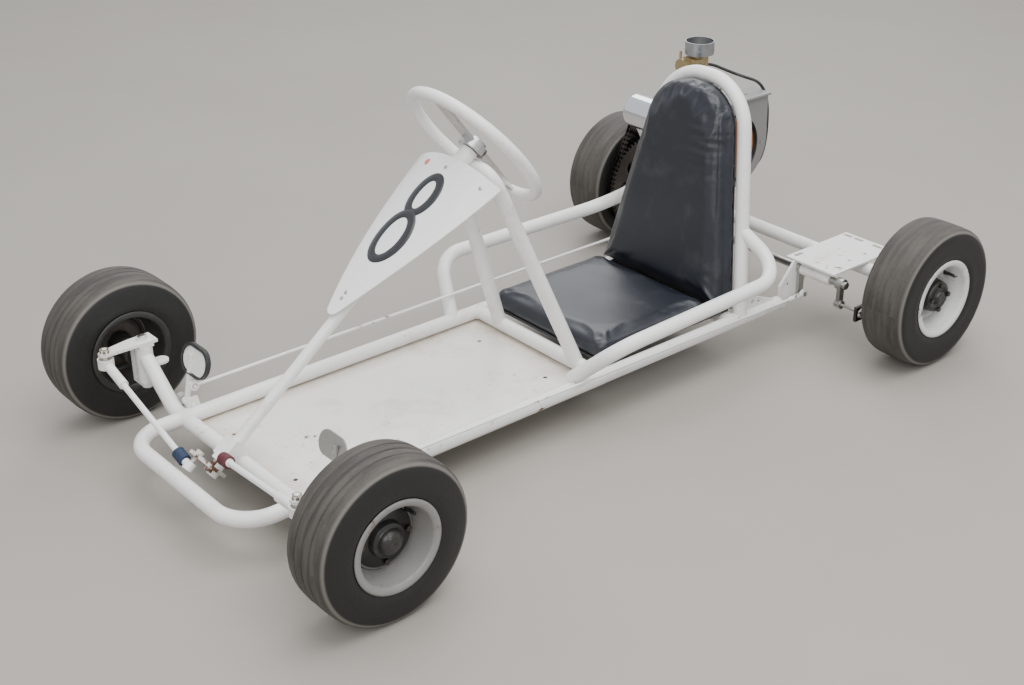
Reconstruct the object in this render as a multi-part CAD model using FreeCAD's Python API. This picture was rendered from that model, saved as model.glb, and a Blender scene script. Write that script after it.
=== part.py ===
"""Vintage tube-frame racing kart, built as separate named pieces.

Millimetres.  +X is the driver's left, the nose points along -Y and +Z is up.
The floor is Z = 0 and the origin is under the middle of the overall box.
"""
import math
import os

import FreeCAD
import Part

# ---------------------------------------------------------------- driving dimensions
WHEELBASE = 1201.0          # front axle to rear axle
FRONT_TYRE_R = 128.0
REAR_TYRE_R = 131.0
BUMPER_REACH = 115.5        # front axle to the bumper's front face
TUBE_R = 12.7               # one inch frame tube
TUBE_WALL = 2.1
RAIL_X = 168.0              # middle of each main rail
RAIL_Z = 72.0               # middle height of the flat frame
RAIL_LENGTH = 1061.0        # front axle to the rail's rear end
KINGPIN_X = 289.0
KINGPIN_Z = 142.0           # where the axle beam meets the kingpin boss
RIM_SEAT_R = 63.5           # five inch rims
FLANGE_R = 73.0
FRONT_WHEEL_X = 377.0       # middle plane of the front tyres
REAR_WHEEL_X = 388.5
FRONT_RIM_HALF = 46.0
REAR_RIM_HALF = 43.0
FRONT_TREAD_HALF = 38.6
REAR_TREAD_HALF = 39.8
SPINDLE_R = 8.0
RUN = 0.05                  # radial clearance of every running fit
COLUMN_SLOPE = 38.0         # degrees from level
WHEEL_AHEAD = 724.15        # rear axle to the centre of the steering wheel
WHEEL_HUB_Z = 474.8
STEERING_RING_R = 124.7
SHAFT_R = 9.5
HOOP_AHEAD = 243.75         # rear axle to the foot of the seat hoop
HOOP_TOP_Z = 480.5
SEAT_AHEAD = 587.75         # rear axle to the cross tube in front of the seat
PLATE_TOP_Z = 150.0         # top of the engine plates
PLATE_T = 4.0
ENGINE_X = -165.0           # middle of the cylinder
CRANK_Z = 276.0
CHAIN_PITCH = 9.525
SPROCKET_TEETH = 64
DRUM_TEETH = 11

# ---------------------------------------------------------------- worked-out positions
HALF_LENGTH = (WHEELBASE + FRONT_TYRE_R + REAR_TYRE_R) / 2
REAR_Y = HALF_LENGTH - REAR_TYRE_R
FRONT_Y = REAR_Y - WHEELBASE
BUMPER_Y = FRONT_Y - BUMPER_REACH + TUBE_R
WHEEL_HUB_Y = REAR_Y - WHEEL_AHEAD
HOOP_BASE_Y = REAR_Y - HOOP_AHEAD
SEAT_FRONT_Y = REAR_Y - SEAT_AHEAD
RAIL_END_Y = FRONT_Y + RAIL_LENGTH
PAN_TOP = RAIL_Z - TUBE_R
RAIL_TOP = RAIL_Z + TUBE_R
HOOP_LEAN = 0.16
REAR_TUBE_Y = HOOP_BASE_Y - 19.0
CRANK_Y = REAR_Y - 22.0
SPROCKET_R = CHAIN_PITCH / (2 * math.sin(math.pi / SPROCKET_TEETH))
DRUM_R = CHAIN_PITCH / (2 * math.sin(math.pi / DRUM_TEETH))
CHAIN_X = -333.0
BRAKE_SHAFT_Y = REAR_Y - 88.0
BRAKE_SHAFT_Z = 130.0
BRAKE_SHAFT_R = 7.0

X_AXIS = FreeCAD.Vector(1, 0, 0)
Y_AXIS = FreeCAD.Vector(0, 1, 0)
Z_AXIS = FreeCAD.Vector(0, 0, 1)
SLOPE = math.radians(COLUMN_SLOPE)
COLUMN_DIR = FreeCAD.Vector(0, math.cos(SLOPE), math.sin(SLOPE))
COLUMN_UP = FreeCAD.Vector(0, -math.sin(SLOPE), math.cos(SLOPE))
COLUMN_TOP = FreeCAD.Vector(0, WHEEL_HUB_Y, WHEEL_HUB_Z)


# ---------------------------------------------------------------- small helpers
def vec(x, y, z):
    """Return a point or direction."""
    return FreeCAD.Vector(x, y, z)


def on_column(down, side=0.0, up=0.0):
    """Return the point `down` mm below the steering wheel's centre along the column."""
    return COLUMN_TOP - COLUMN_DIR * down + COLUMN_UP * up + X_AXIS * side


def hoop_y(z):
    """Return the Y of the leaning hoop plane at height z."""
    return HOOP_BASE_Y + (z - RAIL_TOP) * HOOP_LEAN


def rod(start, end, radius):
    """Return a round bar between two points."""
    return Part.makeCylinder(radius, (end - start).Length, start, end - start)


def tube(start, end, radius, wall):
    """Return a straight hollow tube between two points."""
    return rod(start, end, radius).cut(rod(start, end, radius - wall))


def box(x0, x1, y0, y1, z0, z1):
    """Return a box between the given limits."""
    return Part.makeBox(x1 - x0, y1 - y0, z1 - z0, vec(x0, y0, z0))


def bent_path(points, bend):
    """Return a wire of straight runs joined by tangent arcs of radius `bend`."""
    edges = []
    here = points[0]
    for before, corner, after in zip(points, points[1:], points[2:]):
        into = (corner - before).normalize()
        out = (after - corner).normalize()
        turn = into.getAngle(out)
        reach = bend * math.tan(turn / 2)
        start = corner - into * reach
        end = corner + out * reach
        inward = (out - into).normalize()
        middle = corner + inward * (bend / math.cos(turn / 2) - bend)
        edges.append(Part.LineSegment(here, start).toShape())
        edges.append(Part.Arc(start, middle, end).toShape())
        here = end
    edges.append(Part.LineSegment(here, points[-1]).toShape())
    return Part.Wire(edges)


def bent_rod(points, bend, radius):
    """Return a solid bar swept along a bent path."""
    path = bent_path(points, bend)
    circle = Part.makeCircle(radius, points[0], points[1] - points[0])
    return path.makePipeShell([Part.Wire(circle)], True, False)


def bent_tube(points, bend, radius, wall):
    """Return a hollow tube swept along a bent path."""
    return bent_rod(points, bend, radius).cut(bent_rod(points, bend, radius - wall))


def polygon(points, along):
    """Return a flat outline extruded by the vector `along`."""
    face = Part.Face(Part.makePolygon(points + [points[0]]))
    return face.extrude(along)


def side_plate(profile, x, thickness):
    """Return a plate lying in the YZ plane, centred on x."""
    points = [vec(x - thickness / 2, y, z) for y, z in profile]
    return polygon(points, vec(thickness, 0, 0))


def turned(profile, centre):
    """Return a body of revolution about the X direction through `centre`.

    The profile is a closed list of (x, radius) pairs, x counted from the centre.
    """
    points = [centre + vec(x, 0, radius) for x, radius in profile]
    face = Part.Face(Part.makePolygon(points + [points[0]]))
    return face.revolve(centre, X_AXIS, 360)


def fuse(*shapes):
    """Return the shapes welded into one solid."""
    return shapes[0].multiFuse(list(shapes[1:])).removeSplitter()


def mirrored(shape):
    """Return the shape mirrored to the other side of the kart."""
    return shape.mirror(vec(0, 0, 0), X_AXIS)


def both_sides(shape):
    """Return a shape and its mirror image as a group of separate solids."""
    return Part.makeCompound([shape, mirrored(shape)])


def save(node, shape):
    """Check a piece and write it to its own file."""
    good = shape.isValid() and all(solid.isClosed() for solid in shape.Solids)
    print(f"{node:26s} solids {len(shape.Solids):2d}  volume {shape.Volume:12.1f}  valid {good}")
    shape.exportStep(f"parts/{node}.step")


# ---------------------------------------------------------------- welded frame
BEAM_POINTS = [
    vec(-KINGPIN_X, FRONT_Y, KINGPIN_Z),
    vec(-RAIL_X - 29, FRONT_Y, RAIL_Z),
    vec(RAIL_X + 29, FRONT_Y, RAIL_Z),
    vec(KINGPIN_X, FRONT_Y, KINGPIN_Z),
]
BOSS_R = 15.0
BOSS_TOP = KINGPIN_Z + 16
BOSS_BOTTOM = BOSS_TOP - 64
TAB_Z = 118.0               # rounded steering-stop tab on each boss
KINGPIN_R = 6.0
BLOCK_DOWN = 622.0          # middle of the lower steering block, along the column


def beam_solid():
    """Return the axle beam as a solid bar, used to cope its neighbours."""
    return bent_rod(BEAM_POINTS, 45, TUBE_R)


def front_axle_beam():
    """Bent axle tube with tabbed kingpin bosses and the lower steering block."""
    beam = bent_tube(BEAM_POINTS, 45, TUBE_R, TUBE_WALL)
    pieces = []
    for side in (-1, 1):
        bottom = vec(side * KINGPIN_X, FRONT_Y, BOSS_BOTTOM)
        top = vec(side * KINGPIN_X, FRONT_Y, BOSS_TOP)
        beam = beam.cut(rod(bottom, top, BOSS_R))
        pieces.append(tube(bottom, top, BOSS_R, BOSS_R - KINGPIN_R))
        centre = vec(side * KINGPIN_X, FRONT_Y, TAB_Z)
        ledge = fuse(
            box(centre.x - 12, centre.x + 12, FRONT_Y + 5, FRONT_Y + 30, TAB_Z, TAB_Z + 4),
            rod(centre + Y_AXIS * 30, centre + Y_AXIS * 30 + Z_AXIS * 4, 12),
        )
        pieces.append(ledge.cut(rod(bottom, top, BOSS_R - 2)))
    block = Part.makeBox(32, 34, 34)
    block.Placement = FreeCAD.Placement(vec(0, 0, 0), FreeCAD.Rotation(X_AXIS, COLUMN_SLOPE))
    block.translate(on_column(BLOCK_DOWN + 16, side=-16, up=-20))
    shaft_hole = rod(on_column(BLOCK_DOWN + 60), on_column(BLOCK_DOWN - 60), SHAFT_R + RUN)
    block = block.cut(shaft_hole).cut(beam_solid())
    return fuse(beam, block, *pieces)


def rail_solid(side):
    """Return one rail as a solid bar, used to cope its neighbours."""
    return rod(vec(side * RAIL_X, FRONT_Y, RAIL_Z), vec(side * RAIL_X, RAIL_END_Y, RAIL_Z), TUBE_R)


BRAKE_PIVOT = vec(187.0, FRONT_Y + 37, 62.0)
THROTTLE_PIVOT = vec(-187.0, FRONT_Y + 22, 84.0)
PEDAL_PIN_R = 4.0


def pedal_post(pivot, side):
    """Return the cross pin that a pedal turns on, welded to the rail."""
    inner = vec(side * (RAIL_X + 2), pivot.y, pivot.z)
    outer = vec(side * (RAIL_X + 33), pivot.y, pivot.z)
    return rod(inner, outer, PEDAL_PIN_R)


def main_rail(side):
    """Straight main rail with the pin of its pedal and, on the right, a pin bracket."""
    start = vec(side * RAIL_X, FRONT_Y, RAIL_Z)
    rail = tube(start, vec(side * RAIL_X, RAIL_END_Y, RAIL_Z), TUBE_R, TUBE_WALL)
    cope = rod(start - X_AXIS * 30, start + X_AXIS * 30, TUBE_R + 0.02)
    rail = rail.cut(cope)
    rail = max(rail.Solids, key=lambda solid: solid.Volume)
    bore = rod(vec(side * RAIL_X, FRONT_Y, RAIL_Z), vec(side * RAIL_X, RAIL_END_Y, RAIL_Z), TUBE_R - TUBE_WALL)
    pivot = BRAKE_PIVOT if side > 0 else THROTTLE_PIVOT
    post = pedal_post(pivot, side).cut(bore)
    ear = side_plate([
        (pivot.y - 11, RAIL_Z - 4), (pivot.y + 16, RAIL_Z - 4),
        (pivot.y + 10, max(pivot.z, RAIL_Z) + 14), (pivot.y - 8, max(pivot.z, RAIL_Z) + 14),
    ], side * (RAIL_X + 11), 4).cut(bore).cut(beam_solid())
    return fuse(rail, post, ear)


def front_bumper():
    """U-shaped front loop welded to the axle beam."""
    points = [
        vec(RAIL_X, FRONT_Y, RAIL_Z), vec(RAIL_X, BUMPER_Y, RAIL_Z),
        vec(-RAIL_X, BUMPER_Y, RAIL_Z), vec(-RAIL_X, FRONT_Y, RAIL_Z),
    ]
    return bent_tube(points, 62, TUBE_R, TUBE_WALL).cut(beam_solid())


def cross_tubes():
    """Two straight tubes between the rails under the seat."""
    tubes = []
    for y in (SEAT_FRONT_Y, REAR_TUBE_Y):
        piece = tube(vec(-RAIL_X, y, RAIL_Z), vec(RAIL_X, y, RAIL_Z), TUBE_R, TUBE_WALL)
        tubes.append(piece.cut(rail_solid(1)).cut(rail_solid(-1)))
    return Part.makeCompound(tubes)


def floor_pan():
    """Sheet floor welded under the rails, from the axle beam to the seat."""
    sheet = box(-RAIL_X - 3, RAIL_X + 3, FRONT_Y - 4, SEAT_FRONT_Y + 5, PAN_TOP - 1.6, PAN_TOP)
    for x in (-90, 90):
        for y in (FRONT_Y + 45, SEAT_FRONT_Y - 60):
            sheet = sheet.cut(rod(vec(x, y, 0), vec(x, y, PAN_TOP + 5), 4))
    return sheet.cut(pedal_post(BRAKE_PIVOT, 1))


HOOP_CORNER_X = 90.0
HOOP_BEND = 97.0


def hoop_points():
    """Return the corner points of the seat hoop."""
    return [
        vec(RAIL_X + 2, hoop_y(RAIL_Z), RAIL_Z), vec(HOOP_CORNER_X, hoop_y(HOOP_TOP_Z), HOOP_TOP_Z),
        vec(-HOOP_CORNER_X, hoop_y(HOOP_TOP_Z), HOOP_TOP_Z), vec(-RAIL_X - 2, hoop_y(RAIL_Z), RAIL_Z),
    ]


def hoop_solid():
    """Return the hoop as a solid bar, used to cope its neighbours."""
    return bent_rod(hoop_points(), HOOP_BEND, TUBE_R)


def seat_hoop():
    """Arched tube behind the seat, standing on the rails."""
    hoop = bent_tube(hoop_points(), HOOP_BEND, TUBE_R, TUBE_WALL)
    return hoop.cut(rail_solid(1)).cut(rail_solid(-1))


def side_bar(side):
    """Side guard tube from the rail, along the seat and up to the hoop."""
    join_z = 230.0
    join_x = RAIL_X + 2 - (RAIL_X + 2 - HOOP_CORNER_X) * (join_z - RAIL_Z) / (HOOP_TOP_Z - RAIL_Z)
    foot_x, foot_z = (RAIL_X - 10, RAIL_TOP) if side > 0 else (RAIL_X, RAIL_Z + 1)
    points = [
        vec(side * foot_x, SEAT_FRONT_Y - 61, foot_z),
        vec(side * 243, SEAT_FRONT_Y - 28, 165),
        vec(side * 229, HOOP_BASE_Y + 44, 168),
        vec(side * join_x, hoop_y(join_z), join_z),
    ]
    bar = bent_tube(points, 58, TUBE_R, TUBE_WALL)
    return bar.cut(hoop_solid()).cut(rail_solid(side))


def rail_brackets():
    """Four welded plates: a drilled gusset behind each hoop leg and the rear axle hangers."""
    foot = HOOP_BASE_Y
    tail = RAIL_END_Y
    gusset = side_plate([
        (foot + 1, 80), (foot + 3, 106), (foot + 21, 114), (foot + 33, 108), (foot + 102, 80),
    ], RAIL_X, 5)
    gusset = gusset.cut(hoop_solid()).cut(rail_solid(1))
    gusset = gusset.cut(rod(vec(150, foot + 30, 97), vec(190, foot + 30, 97), 5))
    gusset = gusset.cut(rod(vec(150, foot + 46, 94), vec(190, foot + 46, 94), 3))
    hanger = side_plate([
        (tail, 58), (tail + 17, 60), (tail + 77, 108), (REAR_Y + 20, 108),
        (REAR_Y + 20, PLATE_TOP_Z - PLATE_T), (tail + 37, PLATE_TOP_Z - PLATE_T), (tail, 104),
    ], RAIL_X, 5)
    hanger = hanger.cut(rod(vec(150, REAR_Y, REAR_TYRE_R), vec(190, REAR_Y, REAR_TYRE_R), TUBE_R))
    pin = rod(vec(150, BRAKE_SHAFT_Y, BRAKE_SHAFT_Z), vec(190, BRAKE_SHAFT_Y, BRAKE_SHAFT_Z), BRAKE_SHAFT_R + RUN)
    hanger = hanger.cut(pin)
    return Part.makeCompound([gusset, mirrored(gusset), hanger, mirrored(hanger)])


def rear_axle():
    """Fixed axle tube with a stub axle welded into each end."""
    sleeve = tube(vec(-304, REAR_Y, REAR_TYRE_R), vec(304, REAR_Y, REAR_TYRE_R), TUBE_R, TUBE_WALL)
    stub = rod(vec(236, REAR_Y, REAR_TYRE_R), vec(REAR_WHEEL_X + 31, REAR_Y, REAR_TYRE_R), SPINDLE_R)
    plug = rod(vec(290, REAR_Y, REAR_TYRE_R), vec(304, REAR_Y, REAR_TYRE_R), TUBE_R - 0.5)
    return fuse(sleeve, stub, plug, mirrored(stub), mirrored(plug))


PLATE_IN = 149.0
PLATE_OUT = 262.0
PLATE_FRONT = REAR_Y - 102
PLATE_REAR = REAR_Y + 71
SLOT_R = 4.2
SLOT_LENGTH = 22.0
SLOT_XS = (188.0, 232.0)
SLOT_Y = REAR_Y + 60
HOLE_R = 3.5
HOLE_X = 238.0
HOLE_YS = (REAR_Y - 29, REAR_Y + 16)


def slot(x, y, along_x):
    """Return the cutter for one slotted hole in an engine plate."""
    half = SLOT_LENGTH / 2 - SLOT_R
    step = vec(half, 0, 0) if along_x else vec(0, half, 0)
    low = vec(x, y, PLATE_TOP_Z - 20)
    high = vec(x, y, PLATE_TOP_Z + 20)
    ends = [rod(low + step, high + step, SLOT_R), rod(low - step, high - step, SLOT_R)]
    wide = (half, SLOT_R) if along_x else (SLOT_R, half)
    middle = box(x - wide[0], x + wide[0], y - wide[1], y + wide[1], low.z, high.z)
    return fuse(middle, *ends)


def engine_plate():
    """Return the bare left engine plate with its slots and holes."""
    plate = box(PLATE_IN, PLATE_OUT, PLATE_FRONT, PLATE_REAR, PLATE_TOP_Z - PLATE_T, PLATE_TOP_Z)
    for x in SLOT_XS:
        plate = plate.cut(slot(x, SLOT_Y, True))
    plate = plate.cut(slot(159, PLATE_FRONT + 23, False))
    plate = plate.cut(slot(163, SLOT_Y, True))
    for y in HOLE_YS:
        plate = plate.cut(rod(vec(HOLE_X, y, 100), vec(HOLE_X, y, 200), HOLE_R))
    for x, y in ((234, PLATE_FRONT + 12), (242, PLATE_FRONT + 29), (254, PLATE_FRONT + 27)):
        plate = plate.cut(rod(vec(x, y, 100), vec(x, y, 200), 2.6))
    return plate


def left_engine_plate():
    """Empty engine plate with the brake shaft's bearing sleeve hung under it."""
    start = vec(179, BRAKE_SHAFT_Y, BRAKE_SHAFT_Z)
    end = vec(246, BRAKE_SHAFT_Y, BRAKE_SHAFT_Z)
    saddle = box(190, 236, BRAKE_SHAFT_Y - 4, BRAKE_SHAFT_Y + 4, BRAKE_SHAFT_Z, PLATE_TOP_Z - PLATE_T)
    sleeve = fuse(rod(start, end, 11), saddle)
    sleeve = sleeve.cut(rod(start, end, BRAKE_SHAFT_R + RUN))
    return fuse(engine_plate(), sleeve)


# ---------------------------------------------------------------- steering column and panel
def steering_support():
    """Bent support tube over the driver's knees with the upper steering bearing."""
    top = on_column(26, up=-SHAFT_R - TUBE_R - 1)
    points = [
        vec(105, SEAT_FRONT_Y, RAIL_Z), vec(50, top.y, top.z),
        vec(-50, top.y, top.z), vec(-105, SEAT_FRONT_Y, RAIL_Z),
    ]
    legs = bent_tube(points, 34, TUBE_R, TUBE_WALL)
    legs = legs.cut(rod(vec(-150, SEAT_FRONT_Y, RAIL_Z), vec(150, SEAT_FRONT_Y, RAIL_Z), TUBE_R))
    sleeve = rod(on_column(42), on_column(12), 15)
    sleeve = sleeve.cut(bent_rod(points, 34, TUBE_R - TUBE_WALL))
    whole = fuse(legs, sleeve)
    return whole.cut(rod(on_column(80), on_column(0), SHAFT_R + RUN))


PANEL_BEND_R = 200.0
PANEL_T = 1.6
PANEL_RIDGE = 17.0          # how far the panel's ridge stands above the column axis


def panel_outline():
    """Return the shield outline as a flat face square to the column's up direction."""
    tip = on_column(352, up=90)
    left = on_column(48, side=104, up=90)
    right = on_column(48, side=-104, up=90)
    bulge_left = (tip + left) * 0.5 + X_AXIS * 15 - COLUMN_DIR * 6
    bulge_right = (tip + right) * 0.5 - X_AXIS * 15 - COLUMN_DIR * 6
    bulge_top = on_column(40, up=90)
    edges = [
        Part.Arc(tip + X_AXIS * 13, bulge_left, left).toShape(),
        Part.Arc(left, bulge_top, right).toShape(),
        Part.Arc(right, bulge_right, tip - X_AXIS * 13).toShape(),
        Part.Arc(tip - X_AXIS * 13, tip - COLUMN_DIR * 9, tip + X_AXIS * 13).toShape(),
    ]
    return Part.Face(Part.Wire(edges))


def number_panel():
    """Curved sheet panel over the column, held by a strap round the upper bearing."""
    prism = panel_outline().extrude(COLUMN_UP * -150)
    centre = PANEL_RIDGE - PANEL_BEND_R
    outer = rod(on_column(400, up=centre), on_column(0, up=centre), PANEL_BEND_R)
    inner = rod(on_column(400, up=centre), on_column(0, up=centre), PANEL_BEND_R - PANEL_T)
    upper = rod(on_column(400, up=centre), on_column(0, up=centre), PANEL_BEND_R + 60)
    sheet = outer.cut(inner).common(prism).common(upper)
    return sheet.cut(rod(on_column(330, up=60), on_column(330), 4))


def shaft_ring(down_low, down_high, radius):
    """Return a solid collar on the steering column between two stations."""
    return rod(on_column(down_low), on_column(down_high), radius)


SHAFT_END = 670.0
PITMAN_DOWN = 658.0
PITMAN_REACH = 28.0
STUD_SIDE = 20.0
STUD_R = 4.0
STUD_REACH = 20.0


def steering_shaft():
    """Straight steering shaft with a collar under the wheel."""
    shaft = rod(on_column(SHAFT_END), on_column(-6), SHAFT_R)
    collar = shaft_ring(54, 44, 13)
    return fuse(shaft, collar)


def steering_ring():
    """Round steering wheel rim."""
    circle = Part.makeCircle(10, on_column(0) + COLUMN_UP * STEERING_RING_R, X_AXIS)
    path = Part.Wire(Part.makeCircle(STEERING_RING_R, on_column(0), COLUMN_DIR))
    return path.makePipeShell([Part.Wire(circle)], True, True)


def steering_spoke():
    """Flat cross spoke with the hub boss that clamps the shaft."""
    length = STEERING_RING_R - 7
    points = [
        on_column(2.5, side=-14, up=-length), on_column(2.5, side=14, up=-length),
        on_column(2.5, side=14, up=length), on_column(2.5, side=-14, up=length),
    ]
    flat = polygon(points, COLUMN_DIR * 5)
    path = Part.Wire(Part.makeCircle(STEERING_RING_R, on_column(0), COLUMN_DIR))
    circle = Part.makeCircle(10, on_column(0) + COLUMN_UP * STEERING_RING_R, X_AXIS)
    ring = path.makePipeShell([Part.Wire(circle)], True, True)
    boss = fuse(rod(on_column(11), on_column(-9), 17), rod(on_column(11), on_column(-3), 24))
    whole = fuse(flat, boss).cut(ring)
    return whole.cut(rod(on_column(11.5), on_column(-6), SHAFT_R))


def pitman_plate():
    """Lower steering plate with the two tie-rod studs, one on each face."""
    half = 3.0
    points = [
        on_column(PITMAN_DOWN + half, side=-14, up=-13), on_column(PITMAN_DOWN + half, side=14, up=-13),
        on_column(PITMAN_DOWN + half, side=STUD_SIDE + 11, up=PITMAN_REACH - 4),
        on_column(PITMAN_DOWN + half, side=STUD_SIDE + 9, up=PITMAN_REACH + 11),
        on_column(PITMAN_DOWN + half, side=-STUD_SIDE - 9, up=PITMAN_REACH + 11),
        on_column(PITMAN_DOWN + half, side=-STUD_SIDE - 11, up=PITMAN_REACH - 4),
    ]
    plate = polygon(points, COLUMN_DIR * (2 * half))
    plate = plate.cut(rod(on_column(SHAFT_END), on_column(0), SHAFT_R))
    pieces = [plate]
    for side, reach in ((1, -1), (-1, 1)):
        back = on_column(PITMAN_DOWN - reach * 9, side * STUD_SIDE, PITMAN_REACH)
        tip = on_column(PITMAN_DOWN + reach * (STUD_REACH + 5), side * STUD_SIDE, PITMAN_REACH)
        pieces.append(rod(back, tip, STUD_R))
        nut_end = on_column(PITMAN_DOWN - reach * half, side * STUD_SIDE, PITMAN_REACH)
        pieces.append(rod(back, nut_end, 6.5))
    return fuse(*pieces)


# ---------------------------------------------------------------- knuckles and tie rods
ARM_END_X = KINGPIN_X - 4
ARM_END_Y = FRONT_Y - 70
ARM_Z0 = BOSS_TOP + 6 + RUN
ARM_T = 5.0
TIE_END_Z = ARM_Z0 - 14


def knuckle():
    """Left C-shaped knuckle with its spindle and steering arm."""
    x0 = KINGPIN_X - 14
    web_in = KINGPIN_X + 17
    web_out = web_in + 6
    low = BOSS_BOTTOM - RUN - 6
    top = BOSS_TOP + RUN
    y0 = FRONT_Y - 13
    y1 = FRONT_Y + 13
    strap = fuse(
        box(x0, web_out, y0, y1, top, top + 6), box(x0, web_out, y0, y1, low, low + 6),
        box(web_in, web_out, y0, y1, low, top + 6),
    )
    spindle = rod(vec(web_in, FRONT_Y, FRONT_TYRE_R), vec(FRONT_WHEEL_X + 31, FRONT_Y, FRONT_TYRE_R), SPINDLE_R)
    arm_points = [
        (KINGPIN_X - 15, FRONT_Y + 20), (KINGPIN_X + 17, FRONT_Y + 20), (KINGPIN_X + 15, FRONT_Y - 20),
        (ARM_END_X + 9, ARM_END_Y - 4), (ARM_END_X + 5, ARM_END_Y - 10),
        (ARM_END_X - 5, ARM_END_Y - 10), (ARM_END_X - 9, ARM_END_Y - 4),
    ]
    arm = polygon([vec(x, y, top + 6) for x, y in arm_points], vec(0, 0, ARM_T))
    stud = rod(vec(ARM_END_X, ARM_END_Y, TIE_END_Z - 13), vec(ARM_END_X, ARM_END_Y, top + 18), STUD_R)
    nut = rod(vec(ARM_END_X, ARM_END_Y, top + 11), vec(ARM_END_X, ARM_END_Y, top + 17), 7.5)
    whole = fuse(strap, spindle, arm, stud, nut)
    pin = rod(vec(KINGPIN_X, FRONT_Y, 0), vec(KINGPIN_X, FRONT_Y, 300), KINGPIN_R + RUN)
    return whole.cut(pin)


def kingpin_bolts():
    """Kingpin bolts held by the bosses, with heads and nuts clear of the knuckles."""
    head_z = BOSS_TOP + 6 + ARM_T + 3 * RUN
    nut_z = BOSS_BOTTOM - 6 - 3 * RUN
    shank = rod(vec(KINGPIN_X, FRONT_Y, nut_z - 7), vec(KINGPIN_X, FRONT_Y, head_z + 1), KINGPIN_R)
    head = rod(vec(KINGPIN_X, FRONT_Y, head_z), vec(KINGPIN_X, FRONT_Y, head_z + 5), 9.5)
    nut = rod(vec(KINGPIN_X, FRONT_Y, nut_z - 6), vec(KINGPIN_X, FRONT_Y, nut_z), 9)
    return both_sides(fuse(shank, head, nut))


def tie_rod_ends(side):
    """Return a tie rod's inner joint on the pitman stud and its outer joint at the arm."""
    reach = -STUD_REACH if side > 0 else STUD_REACH
    inner = on_column(PITMAN_DOWN + reach, side * STUD_SIDE, PITMAN_REACH)
    outer = vec(side * ARM_END_X, ARM_END_Y, TIE_END_Z)
    return inner, outer


EYE_OPEN_R = 10.0           # open eye round the arm's stud
EYE_R = 13.5


def tie_rod(side):
    """Tie rod with a bored eye on the pitman stud and an open eye at the knuckle arm."""
    inner, outer = tie_rod_ends(side)
    along = (outer - inner).normalize()
    bar = rod(inner, outer, 5)
    sleeve = rod(outer - along * 62, outer, 8)
    neck = rod(inner, inner + along * 40, 6.5)
    eye = rod(inner - COLUMN_DIR * 7, inner + COLUMN_DIR * 7, 9)
    ring = rod(outer - Z_AXIS * 8, outer + Z_AXIS * 8, EYE_R)
    whole = fuse(bar, sleeve, neck, eye, ring)
    whole = whole.cut(rod(inner - COLUMN_DIR * 20, inner + COLUMN_DIR * 20, STUD_R + RUN))
    return whole.cut(rod(outer - Z_AXIS * 20, outer + Z_AXIS * 20, EYE_OPEN_R))


def tie_rod_boot(side):
    """Rubber sleeve round the tie rod next to its inner eye."""
    inner, outer = tie_rod_ends(side)
    along = (outer - inner).normalize()
    return tube(inner + along * 12, inner + along * 38, 10.5, 4)


# ---------------------------------------------------------------- wheels
def tyre(centre, radius, tread_half, rim_half, grooves):
    """Hollow kart tyre, with shallow grooves round the tread when asked."""
    bead = rim_half - 2.5
    outer = [
        (-bead, RIM_SEAT_R), (-bead, FLANGE_R), (-rim_half - 1, FLANGE_R + 8), (-rim_half, FLANGE_R + 26),
        (-tread_half - 4, radius - 12), (-tread_half, radius - 3.5), (-tread_half + 6, radius - 1),
        (0, radius), (tread_half - 6, radius - 1), (tread_half, radius - 3.5), (tread_half + 4, radius - 12),
        (rim_half, FLANGE_R + 26), (rim_half + 1, FLANGE_R + 8), (bead, FLANGE_R), (bead, RIM_SEAT_R),
        (bead - 8, RIM_SEAT_R), (bead - 5, FLANGE_R + 4), (bead - 4, FLANGE_R + 24),
        (tread_half - 6, radius - 12), (0, radius - 8),
        (6 - tread_half, radius - 12), (4 - bead, FLANGE_R + 24), (5 - bead, FLANGE_R + 4), (8 - bead, RIM_SEAT_R),
    ]
    body = turned(outer, centre)
    for x in grooves:
        body = body.cut(turned([(x - 1.3, radius - 3.5), (x + 1.3, radius - 3.5), (x + 1.3, radius + 5),
                                (x - 1.3, radius + 5)], centre))
    return body


DISC_OUT = 4.0              # rim disc, outboard of the middle plane
DISC_T = 3.0
HUB_R = 20.0


def rim(centre, side, rim_half):
    """Five inch rim: barrel, two flanges and a recessed centre disc."""
    barrel = turned([
        (-rim_half, RIM_SEAT_R - 3), (-rim_half, FLANGE_R), (-rim_half + 2.5, FLANGE_R),
        (-rim_half + 2.5, RIM_SEAT_R), (rim_half - 2.5, RIM_SEAT_R), (rim_half - 2.5, FLANGE_R),
        (rim_half, FLANGE_R), (rim_half, RIM_SEAT_R - 3),
    ], centre)
    inner_face = side * DISC_OUT
    outer_face = side * (DISC_OUT + DISC_T)
    disc = turned([
        (inner_face, HUB_R), (outer_face, HUB_R), (outer_face, RIM_SEAT_R - 2), (inner_face, RIM_SEAT_R - 2),
    ], centre)
    return fuse(barrel, disc)


def hub(centre, side, inner_reach):
    """Wheel hub with its bolt flange, four bolt heads and a hollow outer cap."""
    def at(x):
        return centre + vec(side * x, 0, 0)
    barrel = rod(at(-inner_reach), at(24), HUB_R)
    step = rod(at(10), at(24), 27)
    flange = rod(at(DISC_OUT + DISC_T), at(DISC_OUT + DISC_T + 5), 47)
    cap = rod(at(23), at(38), 19)
    bolts = []
    for turn in (45, 135, 225, 315):
        y = 39 * math.cos(math.radians(turn))
        z = 39 * math.sin(math.radians(turn))
        bolts.append(rod(at(DISC_OUT + DISC_T + 4) + vec(0, y, z), at(DISC_OUT + DISC_T + 10) + vec(0, y, z), 4.5))
    whole = fuse(barrel, step, flange, cap, *bolts)
    bore = rod(at(-inner_reach - 5), at(33), SPINDLE_R + RUN)
    return whole.cut(bore)


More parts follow.
